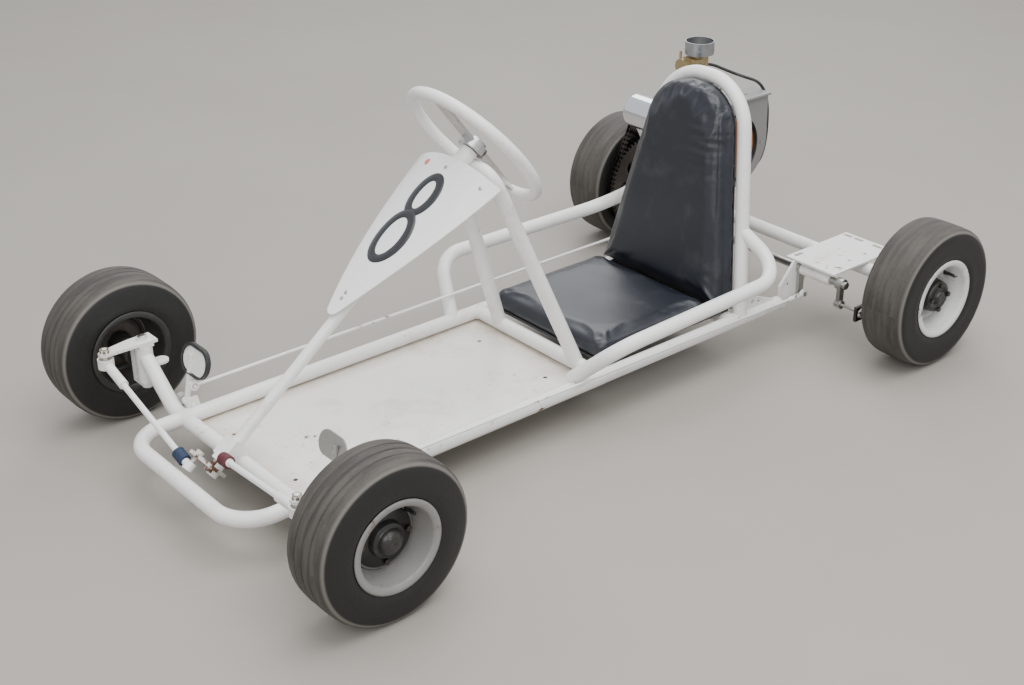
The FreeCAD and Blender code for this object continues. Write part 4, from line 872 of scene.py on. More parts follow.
# ---------------------------------------------------------------- studio
@dataclass
class Studio:
    """Camera, floor and lights."""

    camera_place: Vector = field(default_factory=lambda: Vector((1.8722, -1.6123, 1.3429)))
    azimuth: float = 50.11
    elevation: float = 27.16
    roll: float = -0.26
    lens: float = 55.07
    floor_half: float = 14.0

    def make_camera(self) -> None:
        """Place the camera."""
        data = bpy.data.cameras.new("camera")
        data.lens = self.lens
        data.sensor_width = 36.0
        data.clip_end = 100.0
        camera = bpy.data.objects.new("camera", data)
        bpy.context.scene.collection.objects.link(camera)
        a = math.radians(self.azimuth)
        e = math.radians(self.elevation)
        back = Vector((math.sin(a) * math.cos(e), -math.cos(a) * math.cos(e), math.sin(e)))
        turn = (-back).to_track_quat("-Z", "Y").to_matrix().to_4x4()
        camera.matrix_world = Matrix.Translation(self.camera_place) @ turn @ Matrix.Rotation(
            math.radians(self.roll), 4, "Z")
        bpy.context.scene.camera = camera

    def make_floor(self) -> None:
        """Lay the plain pale floor."""
        mesh = bpy.data.meshes.new("floor")
        h = self.floor_half
        mesh.from_pydata([(-h, -h, 0), (h, -h, 0), (h, h, 0), (-h, h, 0)], [], [(0, 1, 2, 3)])
        material = bpy.data.materials.new("studio floor")
        material.use_nodes = True
        tree = Tree(material.node_tree)
        shader = material.node_tree.nodes["Principled BSDF"]
        place = tree.add("ShaderNodeTexCoord").outputs["Object"]
        cloud = tree.noise(place, 1.6, 6.0, 0.6)
        tree.link(tree.mix(cloud, (0.285, 0.262, 0.232), (0.345, 0.320, 0.285)), shader.inputs["Base Color"])
        shader.inputs["Roughness"].default_value = 0.75
        floor = new_object("studio_floor", mesh, material, smooth=False)

    def make_lights(self) -> None:
        """Hang three soft lights under a pale sky."""
        world = bpy.data.worlds.new("sky")
        world.use_nodes = True
        shade = world.node_tree.nodes["Background"]
        shade.inputs["Color"].default_value = (0.90, 0.93, 0.97, 1)
        shade.inputs["Strength"].default_value = 1.0
        bpy.context.scene.world = world
        for name, place, size, power in (
            ("overhead", (0.6, 0.2, 3.4), 3.4, 150.0), ("front", (2.6, -2.6, 2.6), 2.2, 66.0),
            ("rear", (-2.4, 2.2, 2.8), 2.0, 46.0),
        ):
            data = bpy.data.lights.new(name, "AREA")
            data.energy = power
            data.size = size
            light = bpy.data.objects.new(name, data)
            light.location = place
            light.rotation_mode = "QUATERNION"
            aim = Vector((0, 0, 0.15)) - Vector(place)
            light.rotation_quaternion = aim.to_track_quat("-Z", "Y")
            bpy.context.scene.collection.objects.link(light)

    def make(self) -> None:
        """Build the whole studio."""
        self.make_camera()
        self.make_floor()
        self.make_lights()


# ---------------------------------------------------------------- frame
@dataclass
class FrameWork:
    """Painted tube frame with its weld beads and small bolts."""

    bead: float = 1.9 * MM
    bead_steps: int = 40

    def ring_path(self, centre: Vector, axis: Vector, radius: float) -> list[Vector]:
        """Return a round path about an axis."""
        place = Matrix.Translation(centre) @ basis(axis.normalized())
        return [place @ Vector((0, radius * math.cos(t), radius * math.sin(t)))
                for t in (2 * math.pi * i / self.bead_steps for i in range(self.bead_steps))]

    def saddle_path(self, branch: Vector, direction: Vector, trunk_axis: Vector,
                    trunk: Vector) -> list[Vector]:
        """Return the path where one tube lands square on another.

        Args:
            branch: a point on the branch tube's axis.
            direction: the branch's direction, towards the trunk.
            trunk_axis: the trunk tube's direction.
            trunk: a point on the trunk's axis.

        Returns:
            The saddle-shaped path.
        """
        path = []
        direction = direction.normalized()
        trunk_axis = trunk_axis.normalized()
        for point in self.ring_path(branch, direction, TUBE_R):
            start = point - trunk
            flat = start - trunk_axis * start.dot(trunk_axis)
            step = direction - trunk_axis * direction.dot(trunk_axis)
            a = step.dot(step)
            b = 2 * flat.dot(step)
            c = flat.dot(flat) - TUBE_R ** 2
            inside = max(b * b - 4 * a * c, 0.0)
            path.append(point + direction * ((-b - math.sqrt(inside)) / (2 * a)))
        return path

    def weld(self, name: str, path: Sequence[Vector], seed: int) -> None:
        """Lay one painted weld bead on the frame."""
        mesh = weld_bead(name, "frame white", path, self.bead, seed)
        keep_on(new_object(name, mesh, "frame white"), "chassis", "frame_paint")

    def make_welds(self) -> None:
        """Lay the beads at the joints that show."""
        seed = 3
        cross_low, cross_high = box("cross_tubes")
        for sign in (1, -1):
            rail = Vector((sign * RAIL.x, 0, RAIL.z))
            outward = Vector((sign, 0, 0))
            for label, y in (("front", cross_low.y + TUBE_R), ("rear", cross_high.y - TUBE_R)):
                start = Vector((0, y, RAIL.z))
                seed += 1
                path = self.saddle_path(start, outward, REARWARD, rail)
                self.weld(f"weld_cross_{label}_{seed}", path, seed)
            beam = Vector((0, FRONT_AXLE.y, RAIL.z))
            for label, way in (("rail", -1), ("bumper", 1)):
                start = Vector((sign * RAIL.x, FRONT_AXLE.y - way * 0.09, RAIL.z))
                seed += 1
                path = self.saddle_path(start, Vector((0, way, 0)), LEFTWARD, beam)
                self.weld(f"weld_{label}_{seed}", path, seed)
            foot_y = box("seat_hoop")[0].y + TUBE_R
            seed += 1
            on_leg = Vector((sign * 0.1508, foot_y + 0.0155, 0.17))
            leg = self.saddle_path(on_leg, Vector((sign * HOOP_TAPER, -HOOP_LEAN, -1)), REARWARD, rail)
            self.weld(f"weld_hoop_{seed}", leg, seed)

    def make_bolts(self) -> None:
        """Add a domed crown to each kingpin bolt."""
        for side in Side:
            high = box("kingpin_bolts")[1]
            centre = Vector((side.value * (high.x - 0.0095), FRONT_AXLE.y, high.z + 0.0012))
            outline = rounded([(-0.0012, 0.0), (-0.0012, 0.0085), (0.0012, 0.007), (0.0022, 0.0)])
            mesh = turned_mesh("crown", outline, centre, UP, 32)
            keep_on(new_object(f"kingpin_crown_{side.name.lower()}", mesh, "zinc"), "chassis", "zinc_steel")

    def dress(self) -> None:
        """Give the frame's CAD nodes their finishes."""
        for node in ("front_axle_beam", "left_main_rail", "right_main_rail", "front_bumper", "cross_tubes",
                     "seat_hoop", "left_side_bar", "right_side_bar", "rail_brackets", "rear_axle",
                     "left_engine_plate", "right_engine_plate", "steering_support"):
            SHOP.dress(node, "frame white")
        SHOP.dress("floor_pan", "pan white")
        SHOP.dress("kingpin_bolts", "frame white")
        SHOP.dress("seat_boards", "board black")

    def make(self) -> None:
        """Dress and detail the frame."""
        self.dress()
        self.make_welds()
        self.make_bolts()


# ---------------------------------------------------------------- number panel
@dataclass
class NumberPanel:
    """Curved number panel with a plain generic figure, a round stud and three screws."""

    ridge: float = 17.0 * MM
    bend: float = 200.0 * MM
    stroke: float = 16.0 * MM
    lift: float = 0.5 * MM

    def surface(self, down: float, side: float, lift: float) -> Vector:
        """Return a point on the panel's outer face."""
        sag = self.bend - math.sqrt(self.bend ** 2 - side ** 2)
        return on_column(down, side, self.ridge - sag + lift)

    def loop(self, build: bmesh.types.BMesh, down: float, half_width: float, half_height: float,
             lift: float) -> None:
        """Add one oval stroke of the figure to a mesh.

        Args:
            build: the mesh under construction.
            down: distance of the oval's middle down the column.
            half_width: half the oval's width at the middle of the stroke.
            half_height: half the oval's height at the middle of the stroke.
            lift: height over the panel.
        """
        steps = 64
        rings = []
        for step in range(steps):
            t = 2 * math.pi * step / steps
            ring = []
            for inset, height in ((-0.5, 0.0), (-0.46, 1.0), (0.46, 1.0), (0.5, 0.0)):
                x = (half_width + inset * self.stroke) * math.cos(t)
                d = (half_height + inset * self.stroke) * math.sin(t)
                ring.append(build.verts.new(self.surface(down + d, x, height * lift)))
            rings.append(ring)
        for step in range(steps):
            here, there = rings[step], rings[(step + 1) % steps]
            for index in range(3):
                build.faces.new((here[index], here[index + 1], there[index + 1], there[index]))
            build.faces.new((here[3], here[0], there[0], there[3]))

    def make_figure(self) -> None:
        """Paint the figure as two plain ovals of even stroke."""
        for label, down, half_width, half_height, lift in (
            ("upper", 0.118, 0.021, 0.036, self.lift), ("lower", 0.203, 0.027, 0.045, self.lift * 1.4),
        ):
            build = bmesh.new()
            self.loop(build, down, half_width, half_height, lift)
            bmesh.ops.recalc_face_normals(build, faces=build.faces)
            mesh = bpy.data.meshes.new("figure " + label)
            build.to_mesh(mesh)
            build.free()
            keep_on(new_object("panel_figure_" + label, mesh, "numeral black"), "chassis", "panel_paint")

    def make_fixings(self) -> None:
        """Add the domed stud near the top edge and the screws."""
        for name, down, side, radius, finish in (
            ("panel_stud", 0.062, -0.052, 0.0068, "old pink"),
            ("panel_screw_top", 0.060, 0.0, 0.0042, "zinc"),
            ("panel_screw_side", 0.064, 0.078, 0.0038, "zinc"),
            ("panel_screw_tip", 0.318, 0.0, 0.0042, "zinc"),
        ):
            centre = self.surface(down, side, -0.0008)
            normal = (self.surface(down, side, 0.01) - self.surface(down, side, 0.0)).normalized()
            outline = rounded([(-0.0005, 0.0), (-0.0005, radius), (0.0015, radius * 0.9), (0.0028, 0.0)])
            mesh = turned_mesh(name, outline, centre, normal, 28)
            keep_on(new_object(name, mesh, finish), "chassis", "panel_paint")

    def make(self) -> None:
        """Dress the panel and add what is on it."""
        SHOP.dress("number_panel", "panel white")
        self.make_figure()
        self.make_fixings()


# ---------------------------------------------------------------- steering
@dataclass
class Steering:
    """Steering wheel, knuckles and tie rods with their ribbed boots."""

    ribs: int = 4
    boot_r: float = 10.5 * MM
    boot_bore: float = 6.7 * MM
    boot_half: float = 12.8 * MM

    def dress(self) -> None:
        """Give the steering's CAD nodes their finishes."""
        for node in ("steering_shaft", "steering_ring", "left_knuckle", "right_knuckle", "left_tie_rod",
                     "right_tie_rod"):
            SHOP.dress(node, "frame white")
        SHOP.dress("steering_spoke", "bright spoke")
        SHOP.dress("pitman_plate", "flaking white")

    def make_boot(self, name: str, finish: str, slot: str) -> None:
        """Replace a plain boot with a ribbed one."""
        half = self.boot_half
        outline = [(-half, self.boot_bore)]
        for rib in range(self.ribs):
            left = -half + 2 * half * rib / self.ribs
            width = 2 * half / self.ribs
            outline += [(left + width * 0.15, self.boot_r * 0.84), (left + width * 0.35, self.boot_r),
                        (left + width * 0.65, self.boot_r), (left + width * 0.85, self.boot_r * 0.84)]
        outline.append((half, self.boot_bore))
        boot = turned_mesh(name + "_ribbed", outline, middle(name), self.boot_axis(name), 40)
        keep_on(new_object(name + "_ribbed", boot, finish), name.replace("_boot", ""), slot, name)

    def boot_axis(self, name: str) -> Vector:
        """Return the direction of a tie rod, from the two ends of its boot."""
        points = [vertex.co for vertex in NODES[name].data.vertices]
        ends = []
        for pick in (min, max):
            edge = pick((point.x for point in points), key=abs)
            close = [point for point in points if abs(point.x - edge) < 0.012]
            ends.append(sum(close, Vector()) / len(close))
        return (ends[1] - ends[0]).normalized()

    def hexagon(self, name: str, centre: Vector, axis: Vector, across: float,
                height: float) -> bpy.types.Mesh:
        """Return one hexagon nut with a chamfered top, standing on a point."""
        outline = [(0.0, 0.0), (0.0, across), (height * 0.8, across), (height, across * 0.86), (height, 0.0)]
        return turned_mesh(name, outline, centre, axis, 6)

    def make_nuts(self) -> None:
        """Add hexagon nuts to the arms and to the wheel's hub."""
        for side in Side:
            knuckle = side.name.lower() + "_knuckle"
            high = box(knuckle)[1]
            centre = Vector((side.value * 0.285, FRONT_AXLE.y - 0.070, high.z - 0.0065))
            mesh = self.hexagon(knuckle + " nut", centre, UP, 0.0085, 0.0060)
            keep_on(new_object(knuckle + "_nut", mesh, "rusty hardware", smooth=False), knuckle, "zinc_steel")
        mesh = self.hexagon("hub nut", on_column(-0.0088), COLUMN, 0.0078, 0.0045)
        keep_on(new_object("steering_hub_nut", mesh, "zinc", smooth=False), "steering_column", "zinc_steel")

    def make(self) -> None:
        """Dress and detail the steering."""
        self.dress()
        self.make_boot("left_tie_rod_boot", "maroon rubber", "boot_maroon")
        self.make_boot("right_tie_rod_boot", "blue rubber", "boot_blue")
        self.make_nuts()


# ---------------------------------------------------------------- wheels
@dataclass
class Wheel:
    """One wheel: tyre, rim, centre disc, valve, greasy hub and its bolts, and a drum where it is braked."""

    body: str
    side: Side
    radius: float
    rim_half: float
    tread_half: float
    grooves: tuple[float, ...]
    rim_colour: Colour
    domed: bool
    flange_r: float = 73.0 * MM
    seat_r: float = 63.5 * MM

    @property
    def name(self) -> str:
        """Return the wheel's name without the word wheel."""
        return self.body.replace("_wheel", "")

    @property
    def centre(self) -> Vector:
        """Return the wheel's middle."""
        return middle(self.name + "_tyre")

    def out(self, distance: float) -> Vector:
        """Return the point on the axle this far outboard of the middle."""
        return self.centre + Vector((self.side.value * distance, 0, 0))

    def axis(self) -> Vector:
        """Return the outward direction."""
        return Vector((self.side.value, 0, 0))

    def tyre_outline(self) -> list[tuple[float, float]]:
        """Return the tyre's mirrored outline with soft shoulders and cut grooves."""
        bead = self.rim_half - 0.0025
        r, t, h, f = self.radius, self.tread_half, self.rim_half, self.flange_r
        half = [(bead, self.seat_r), (bead, f), (h + 0.0012, f + 0.006), (h + 0.0018, f + 0.014),
                (h + 0.0008, f + 0.026), (t + 0.0062, r - 0.018), (t + 0.0042, r - 0.0105),
                (t + 0.0018, r - 0.0055), (t - 0.0015, r - 0.0028), (t - 0.006, r - 0.0014)]
        tread = []
        for groove in sorted(self.grooves, reverse=True):
            for edge, depth in ((0.0022, 0.0003), (0.0013, 0.0008), (0.0009, 0.0036),
                                (-0.0009, 0.0036), (-0.0013, 0.0008), (-0.0022, 0.0003)):
                tread.append((groove + edge, r - depth))
        if not self.grooves:
            tread = [(0.02, r - 0.0004), (0.0, r), (-0.02, r - 0.0004)]
        mirrored = [(-x, y) for x, y in reversed(half)]
        inside = [(-bead + 0.008, self.seat_r), (-bead + 0.005, f + 0.004), (-bead + 0.004, f + 0.024),
                  (-t + 0.006, r - 0.012), (0.0, r - 0.008), (t - 0.006, r - 0.012),
                  (bead - 0.004, f + 0.024), (bead - 0.005, f + 0.004), (bead - 0.008, self.seat_r)]
        return half + tread + mirrored + inside

    def make_tyre(self) -> None:
        """Turn the tyre."""
        mesh = turned_mesh(self.name + " tyre", self.tyre_outline(), self.centre, LEFTWARD, 160)
        finish = TyreRubber(self.name + " tyre", (0.0065, 0.0062, 0.0060), centre=tuple(self.centre),
                            radius=self.radius)
        tyre = new_object(self.name + "_tyre_turned", mesh, finish.build())
        keep_on(tyre, self.body, "tyre", self.name + "_tyre")

    def rim_outline(self) -> list[tuple[float, float]]:
        """Return the rim's outline with rolled lips and a drop centre."""
        h = self.rim_half
        f, s = self.flange_r, self.seat_r
        return [
            (h + 0.0008, f - 0.0035), (h + 0.0004, f - 0.0006), (h - 0.0012, f), (h - 0.0026, f - 0.0016),
            (h - 0.0028, s + 0.001), (h - 0.010, s), (h - 0.018, s - 0.0005), (0.016, s - 0.009),
            (-0.016, s - 0.009), (-h + 0.018, s - 0.0005), (-h + 0.010, s), (-h + 0.0028, s + 0.001),
            (-h + 0.0026, f - 0.0016),
            (-h + 0.0012, f), (-h - 0.0004, f - 0.0006), (-h - 0.0008, f - 0.0035), (-h, s - 0.0005),
            (-h + 0.004, s - 0.003), (-h + 0.018, s - 0.0035), (-0.016, s - 0.012), (0.016, s - 0.012),
            (h - 0.018, s - 0.0035), (h - 0.004, s - 0.003), (h, s - 0.0005),
        ]

    def disc_outline(self) -> list[tuple[float, float]]:
        """Return the dished centre disc's outline."""
        s = self.seat_r
        return rounded([(0.002, 0.0205), (0.002, 0.036), (0.0075, 0.046), (0.006, s - 0.0125),
                        (0.009, s - 0.0125), (0.0105, 0.046), (0.005, 0.036), (0.005, 0.0205)], 1)

    def make_rim(self) -> None:
        """Turn the rim and its centre disc, with a valve stem through it."""
        finish = WheelPaint(self.name + " rim", self.rim_colour, centre=tuple(self.centre),
                            stain=(0.085, 0.07, 0.055), chips=0.5, stains=0.45, gloss=0.40, coat=0.05).build()
        mesh = turned_mesh(self.name + " rim", self.rim_outline(), self.centre, self.axis(), 120)
        rim = new_object(self.name + "_rim_turned", mesh, finish)
        keep_on(rim, self.body, "rim_black" if self.rim_colour[0] < 0.1 else "rim_paint", self.name + "_rim")
        disc = turned_mesh(self.name + " disc", self.disc_outline(), self.centre, self.axis(), 96)
        keep_on(new_object(self.name + "_rim_disc", disc, finish), self.body, "rim_paint")
        spot = self.out(0.012) + Vector((0, 0.040, 0.030))
        outline = rounded([(-0.004, 0.0), (-0.004, 0.0042), (0.004, 0.0036), (0.006, 0.0026),
                           (0.019, 0.0026), (0.019, 0.0)], 1)
        stem = turned_mesh(self.name + " valve", outline, spot, self.axis(), 20)
        keep_on(new_object(self.name + "_valve", stem, "black rubber"), self.body, "black_rubber")

    def make_hub(self) -> None:
        """Turn the hub with its cap and grow its bolts."""
        inner = 0.056 if "front" in self.name else 0.078
        outline = [(-inner, 0.0081), (-inner, 0.0165), (-inner + 0.003, 0.0195), (-0.012, 0.0200)]
        if self.domed:
            outline += [(0.0045, 0.0205), (0.0060, 0.0450), (0.0075, 0.0465), (0.0110, 0.0465),
                        (0.0120, 0.0450), (0.0124, 0.0285), (0.0135, 0.0272), (0.0225, 0.0268),
                        (0.0238, 0.0255), (0.0238, 0.0205), (0.0265, 0.0196), (0.0310, 0.0178),
                        (0.0345, 0.0138), (0.0368, 0.0085), (0.0376, 0.0001)]
        else:
            outline += [(0.0045, 0.0205), (0.0060, 0.0305), (0.0075, 0.0315), (0.0260, 0.0290),
                        (0.0300, 0.0280), (0.0312, 0.0262), (0.0312, 0.0200), (0.0290, 0.0185),
                        (0.0290, 0.0112), (0.0355, 0.0106), (0.0370, 0.0085), (0.0374, 0.0001)]
        outline += [(0.0330, 0.0001), (0.0330, 0.0081)]
        mesh = turned_mesh(self.name + " hub", outline, self.centre, self.axis(), 64)
        hub = new_object(self.name + "_hub_turned", mesh, "greasy black")
        keep_on(hub, self.body, "hub_black", self.name + "_hub")
        face, ring = (0.0145, 0.039) if self.domed else (0.0335, 0.0235)
        heads = heads_on_circle(self.name + " bolts", "oily steel", self.out(face), self.axis(), 4, ring,
                                0.0046, 0.0050)
        bolts = new_object(self.name + "_hub_bolts", heads, "oily steel", smooth=False)
        keep_on(bolts, self.body, "dark_steel")

    def make_drum(self) -> None:
        """Turn the open brake drum on the inner end of the braked wheel's hub."""
        back, mouth, wall = -0.0745, -0.0485, 0.0040
        outer, core = 0.0500, 0.0195
        outline = [(back, core), (back, outer), (mouth, outer), (mouth, outer - wall),
                   (back + wall, outer - wall), (back + wall, core)]
        mesh = turned_mesh(self.name + " drum", outline, self.centre, self.axis(), 64)
        keep_on(new_object(self.name + "_brake_drum", mesh, "oily steel"), self.body, "dark_steel")

    def make(self) -> None:
        """Build the whole wheel."""
        self.make_tyre()
        self.make_rim()
        self.make_hub()
        if self.name == "rear_left":
            self.make_drum()


# ---------------------------------------------------------------- seat
@dataclass
class Pad:
    """A stuffed seat pad, blown up from its CAD solid."""

    node: str
    voxel: float = 5.0 * MM
    pressure: float = 4.0
    cap: float = 9.0 * MM
    frames: int = 20

    def pinned(self, point: Vector) -> bool:
        """Return whether a point is fixed to the board behind or below."""
        low, high = box(self.node)
        if self.node == "seat_base_pad":
            return point.z < low.z + 0.004
        return point.y > high.y - 0.006 - (high.z - point.z) * HOOP_LEAN

    def start_mesh(self) -> bpy.types.Object:
        """Return a remeshed copy of the CAD solid."""
        source = NODES[self.node]
        mesh = source.data.copy()
        build = bmesh.new()
        build.from_mesh(mesh)
        bmesh.ops.remove_doubles(build, verts=build.verts, dist=1e-5)
        build.to_mesh(mesh)
        build.free()
        obj = bpy.data.objects.new(self.node + "_stuffed", mesh)
        bpy.context.scene.collection.objects.link(obj)
        remesh = obj.modifiers.new("remesh", "REMESH")
        remesh.mode = "VOXEL"
        remesh.voxel_size = self.voxel
        self.apply(obj)
        return obj

    def apply(self, obj: bpy.types.Object) -> None:
        """Turn an object's modifiers into plain mesh."""
        result = bpy.data.meshes.new_from_object(obj.evaluated_get(bpy.context.evaluated_depsgraph_get()))
        obj.modifiers.clear()
        obj.data = result

    def inflate(self, obj: bpy.types.Object) -> None:
        """Blow the pad up with a short cloth simulation, its moves capped."""
        rest = [v.co.copy() for v in obj.data.vertices]
        group = obj.vertex_groups.new(name="held")
        held = [index for index, point in enumerate(rest) if self.pinned(point)]
        group.add(held, 1.0, "REPLACE")
        cloth = obj.modifiers.new("cloth", "CLOTH")
        settings = cloth.settings
        settings.vertex_group_mass = "held"
        settings.use_pressure = True
        settings.uniform_pressure_force = self.pressure
        settings.quality = 5
        settings.tension_stiffness = 12
        settings.compression_stiffness = 12
        settings.effector_weights.gravity = 0.0
        scene = bpy.context.scene
        for number in range(1, self.frames + 1):
            scene.frame_set(number)
        self.apply(obj)
        scene.frame_set(1)
        for vertex, old in zip(obj.data.vertices, rest):
            move = vertex.co - old
            if move.length > self.cap:
                vertex.co = old + move.normalized() * self.cap

    def shape(self, obj: bpy.types.Object, change: Callable[[Vector], Vector]) -> None:
        """Move every point by a rule."""
        for vertex in obj.data.vertices:
            vertex.co = change(vertex.co.copy())

    def soften(self, obj: bpy.types.Object) -> None:
        """Add one subdivision and drop what the simulation left behind."""
        divide = obj.modifiers.new("soft", "SUBSURF")
        divide.levels = 1
        divide.render_levels = 1
        self.apply(obj)
        obj.vertex_groups.clear()


@dataclass
class Seat:
    """Back and base pads, the back with a soft crease along its left edge."""

    wrinkle: float = 0.7 * MM
    crease_in: float = 14.0 * MM
    crease_half: float = 4.0 * MM
    crease_depth: float = 2.6 * MM
    crease_low: float = 0.24

    def back_rule(self, point: Vector) -> Vector:
        """Add the crease near the left edge and slack wrinkles near its top."""
        high = box("seat_back_pad")[1]
        if point.y > high.y - 0.012 - (high.z - point.z) * HOOP_LEAN:
            return point
        spot = Vector((0.080, point.y, 0.395))
        near = max(0.0, 1.0 - (point - spot).length / 0.080)
        folds = noise.noise(Vector((point.x * 22, 0, point.z * 95))) * self.wrinkle * 3.0 * near
        broad = noise.noise(Vector((point.x * 9, 3.0, point.z * 9))) * self.wrinkle
        off = abs(point.x - (self.back_half(point.z) - self.crease_in)) / self.crease_half
        length = min(1.0, max(0.0, (point.z - self.crease_low) / 0.05))
        crease = self.crease_depth * length * max(0.0, 1.0 - off * off)
        point.y += folds + broad + crease
        return point

    def base_rule(self, point: Vector) -> Vector:
        """Press a shallow sitting hollow into the base."""
        high = box("seat_base_pad")[1]
        centre = middle("seat_base_pad")
        if point.z > centre.z:
            off = Vector(((point.x - centre.x) / 0.13, (point.y - centre.y) / 0.12, 0)).length
            point.z -= 0.003 * max(0.0, 1 - off * off)
            point.z += noise.noise(Vector((point.x * 14, point.y * 14, 1.0))) * self.wrinkle
            point.z = min(point.z, high.z + 0.008)
        limit = high.x + 0.0045
        point.x = max(-limit, min(limit, point.x))
        return point

    def back_half(self, z: float) -> float:
        """Return half the back's width at a height."""
        low, high = box("seat_back_pad")
        return high.x - HOOP_TAPER * (z - low.z)

    def make_pad(self, pad: Pad, rule: Callable[[Vector], Vector]) -> None:
        """Build one stuffed pad.

        Args:
            pad: the pad's sizes.
            rule: extra shaping after the simulation.
        """
        obj = pad.start_mesh()
        pad.inflate(obj)
        pad.soften(obj)
        pad.shape(obj, rule)
        obj.data.materials.clear()
        obj.data.materials.append(SHOP.get("seat vinyl"))
        for polygon in obj.data.polygons:
            polygon.use_smooth = True
        keep_on(obj, "chassis", "seat_vinyl", pad.node)

    def make(self) -> None:
        """Build both pads."""
        self.make_pad(Pad("seat_back_pad", cap=6.0 * MM), self.back_rule)
        self.make_pad(Pad("seat_base_pad", cap=4.0 * MM), self.base_rule)


# ---------------------------------------------------------------- pedals and brake
@dataclass
class Controls:
    """Pedals, rods, the throttle cable, return springs and the brake."""

    spring_r: float = 9.5 * MM
    spring_length: float = 13.0 * MM
    wire: float = 0.9 * MM

    def dress(self) -> None:
        """Give the controls' CAD nodes their finishes."""
        for node in ("brake_pedal", "brake_shaft"):
            SHOP.dress(node, "zinc")
        for node in ("brake_rod", "throttle_rod", "throttle_pedal"):
            SHOP.dress(node, "frame white")
        SHOP.dress("throttle_pedal_rubber", "black rubber")
        SHOP.dress("brake_band", "oily steel")
        SHOP.dress("throttle_cable", "black rubber")

    def make_springs(self) -> None:
        """Hang a return coil on each pedal's pin."""
        for pedal, side in (("brake_pedal", Side.LEFT), ("throttle_pedal", Side.RIGHT)):
            low, high = box(pedal)
            foot = Vector((side.value * 0.201, (low.y + high.y) / 2 - 0.012, low.z + 0.008))
            end = foot + Vector((side.value * self.spring_length, 0, 0))
            mesh = coil_spring(pedal + " spring", "zinc", foot, end, self.spring_r, self.wire, 5.0)
            keep_on(new_object(pedal + "_spring", mesh, "zinc"), pedal, "zinc_steel")

    def make(self) -> None:
        """Dress and detail the controls."""
        self.dress()
        self.make_springs()


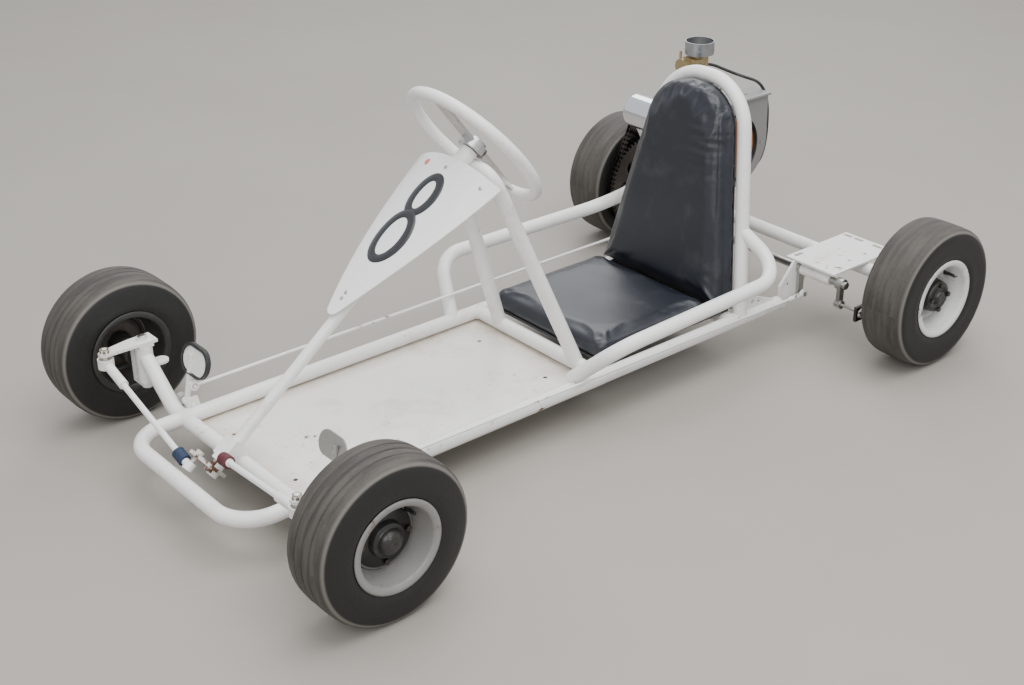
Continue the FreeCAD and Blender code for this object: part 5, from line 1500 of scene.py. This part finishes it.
# ---------------------------------------------------------------- engine and chain
@dataclass
class Engine:
    """Engine, its ignition lead and small fastenings, and the drive chain."""

    pitch: float = 9.525 * MM
    small_teeth: int = 11
    lead_r: float = 3.0 * MM
    cylinder_x: float = -165.0 * MM
    plug_top: float = 142.0 * MM
    head_top: float = 112.0 * MM

    def dress(self) -> None:
        """Give the engine's CAD nodes their finishes."""
        for node, finish in (
            ("engine_crankcase", "cast metal"), ("engine_cylinder", "cast metal"),
            ("blower_housing", "shroud grey"), ("carburettor", "carburettor metal"),
            ("air_cup", "cup aluminium"), ("exhaust_can", "polished aluminium"),
            ("flywheel", "rusty iron"), ("clutch_drum", "oily steel"), ("rear_sprocket", "oily steel"),
        ):
            SHOP.dress(node, finish)

    def lead_route(self) -> list[Vector]:
        """Return the ignition lead's route from the plug round the shroud."""
        crank_y = middle("flywheel").y
        crank_z = middle("flywheel").z
        plug = Vector((self.cylinder_x, crank_y, crank_z + self.plug_top))
        return [
            plug, plug + Vector((0, 0, 0.020)), Vector((-0.128, crank_y + 0.062, crank_z + 0.128)),
            Vector((-0.086, crank_y + 0.107, crank_z + 0.110)),
            Vector((-0.080, crank_y + 0.110, crank_z - 0.006)),
            Vector((-0.084, crank_y + 0.086, crank_z - 0.066)),
            Vector((-0.118, crank_y + 0.044, crank_z - 0.088)),
        ]

    def make_lead(self) -> None:
        """Run the smooth black ignition lead and add its plug cap."""
        route = self.lead_route()
        mesh = curve_mesh("lead", route, self.lead_r)
        lead = new_object("ignition_lead_run", mesh, "black rubber")
        keep_on(lead, "chassis", "black_rubber", "ignition_lead")
        outline = rounded([(-0.012, 0.0061), (-0.012, 0.009), (0.006, 0.0088), (0.010, 0.0055),
                           (0.010, 0.0), (-0.002, 0.0), (-0.002, 0.0061)], 1)
        cap = turned_mesh("plug cap", outline, route[0], UP, 32)
        keep_on(new_object("plug_cap", cap, "black rubber"), "chassis", "black_rubber")

    def chain_path(self) -> list[Vector]:
        """Return the chain's pitch line round both sprockets."""
        low, high = box("rear_sprocket")
        big_r = (high.z - low.z) / 2 - 0.003
        big = middle("rear_sprocket")
        crank = middle("flywheel")
        small = Vector((big.x, crank.y, crank.z))
        small_r = self.pitch / (2 * math.sin(math.pi / self.small_teeth))
        line = small - big
        lean = math.atan2(line.z, line.y)
        spread = math.acos((big_r - small_r) / line.length)
        path = []
        for step in range(9):
            turn = lean + spread - 2 * spread * step / 8
            path.append(small + Vector((0, math.cos(turn), math.sin(turn))) * small_r)
        sweep = 2 * math.pi - 2 * spread
        for step in range(49):
            turn = lean - spread - sweep * step / 48
            path.append(big + Vector((0, math.cos(turn), math.sin(turn))) * big_r)
        return path

    def make_chain(self) -> None:
        """Grow the chain's links along its pitch line."""
        grower = Grower("chain links")
        grower.sizes((("Pitch", FLOAT, self.pitch),))
        tree, source = grower.tree, grower.inputs()
        curve = tree.add("GeometryNodeMeshToCurve")
        tree.link(source.outputs["Geometry"], curve.inputs["Mesh"])
        spread = tree.add("GeometryNodeResampleCurve", mode="LENGTH")
        tree.link(curve.outputs[0], spread.inputs["Curve"])
        tree.link(source.outputs["Pitch"], spread.inputs["Length"])
        tangent = tree.add("GeometryNodeInputTangent")
        turn = tree.add("FunctionNodeAlignRotationToVector", axis="Y", pivot_axis="X")
        tree.link(tangent.outputs[0], turn.inputs["Vector"])
        parts = []
        for side in (-1, 1):
            plate = tree.add("GeometryNodeMeshCube")
            plate.inputs["Size"].default_value = (0.0012, 0.0125, 0.0080)
            plate.inputs["Vertices Y"].default_value = 3
            shift = tree.add("GeometryNodeTransform")
            shift.inputs["Translation"].default_value = (side * 0.0038, 0.0, 0.0)
            tree.link(plate.outputs["Mesh"], shift.inputs["Geometry"])
            parts.append(shift.outputs[0])
            pin = tree.add("GeometryNodeMeshCylinder")
            pin.inputs["Vertices"].default_value = 12
            pin.inputs["Radius"].default_value = 0.0022
            pin.inputs["Depth"].default_value = 0.0016
            head = tree.add("GeometryNodeTransform")
            head.inputs["Translation"].default_value = (side * 0.0050, 0.0, 0.0)
            head.inputs["Rotation"].default_value = (0.0, math.pi / 2, 0.0)
            tree.link(pin.outputs["Mesh"], head.inputs["Geometry"])
            parts.append(head.outputs[0])
        join = tree.add("GeometryNodeJoinGeometry")
        for part in parts:
            tree.link(part, join.inputs[0])
        copies = tree.add("GeometryNodeInstanceOnPoints")
        tree.link(spread.outputs[0], copies.inputs["Points"])
        tree.link(join.outputs[0], copies.inputs["Instance"])
        tree.link(turn.outputs[0], copies.inputs["Rotation"])
        grower.finish(copies.outputs[0], SHOP.get("oily steel"))
        mesh = grower.grow(closed_path("chain path", self.chain_path()))
        keep_on(new_object("drive_chain_links", mesh, "oily steel", smooth=False), "chassis", "dark_steel",
                "drive_chain")

    def make_details(self) -> None:
        """Add the plug's porcelain, shroud screws and the head's bolts."""
        crank = middle("flywheel")
        head = Vector((self.cylinder_x, crank.y, crank.z + self.head_top))
        plug = head + UP * 0.005
        outline = rounded([(0.0, 0.0), (0.0, 0.0072), (0.012, 0.0066), (0.0135, 0.0)], 1)
        mesh = turned_mesh("porcelain", outline, plug, UP, 28)
        keep_on(new_object("plug_porcelain", mesh, "plug ceramic"), "chassis", "cast_grey")
        bolts = heads_on_circle("head bolts", "oily steel", head, UP, 4, 0.030, 0.006, 0.006)
        keep_on(new_object("head_bolts", bolts, "oily steel", smooth=False), "chassis", "dark_steel")
        high = box("blower_housing")[1]
        face = Vector((high.x - 0.006 + 0.0008, crank.y + 0.004, crank.z))
        screws = heads_on_circle("shroud screws", "zinc", face, LEFTWARD, 5, 0.0785, 0.0034,
                                 0.0016, 12)
        keep_on(new_object("shroud_screws", screws, "zinc", smooth=False), "chassis", "zinc_steel")

    def make(self) -> None:
        """Dress and detail the engine."""
        self.dress()
        self.make_lead()
        self.make_chain()
        self.make_details()


# ---------------------------------------------------------------- build
DIRTY_WHITE = (0.72, 0.715, 0.70)
WHEEL_BLACK = (0.02, 0.02, 0.02)
SILVER_GREY = (0.24, 0.235, 0.225)
FRONT_GROOVES = (-0.017, 0.0, 0.017)
WHEELS = (
    Wheel("front_left_wheel", Side.LEFT, 0.128, 0.046, 0.0386, FRONT_GROOVES, SILVER_GREY, True),
    Wheel("front_right_wheel", Side.RIGHT, 0.128, 0.046, 0.0386, FRONT_GROOVES, WHEEL_BLACK, True),
    Wheel("rear_left_wheel", Side.LEFT, 0.131, 0.043, 0.0398, (), DIRTY_WHITE, False),
    Wheel("rear_right_wheel", Side.RIGHT, 0.131, 0.043, 0.0398, (), DIRTY_WHITE, False),
)


def main() -> None:
    """Build every sub-assembly in order."""
    logging.basicConfig(level=logging.INFO, format="%(name)s: %(message)s")
    Studio().make()
    for assembly in (FrameWork(), NumberPanel(), Steering(), *WHEELS, Seat(), Controls(), Engine()):
        LOG.info("building %s", type(assembly).__name__)
        assembly.make()


if __name__ == "__main__":
    main()
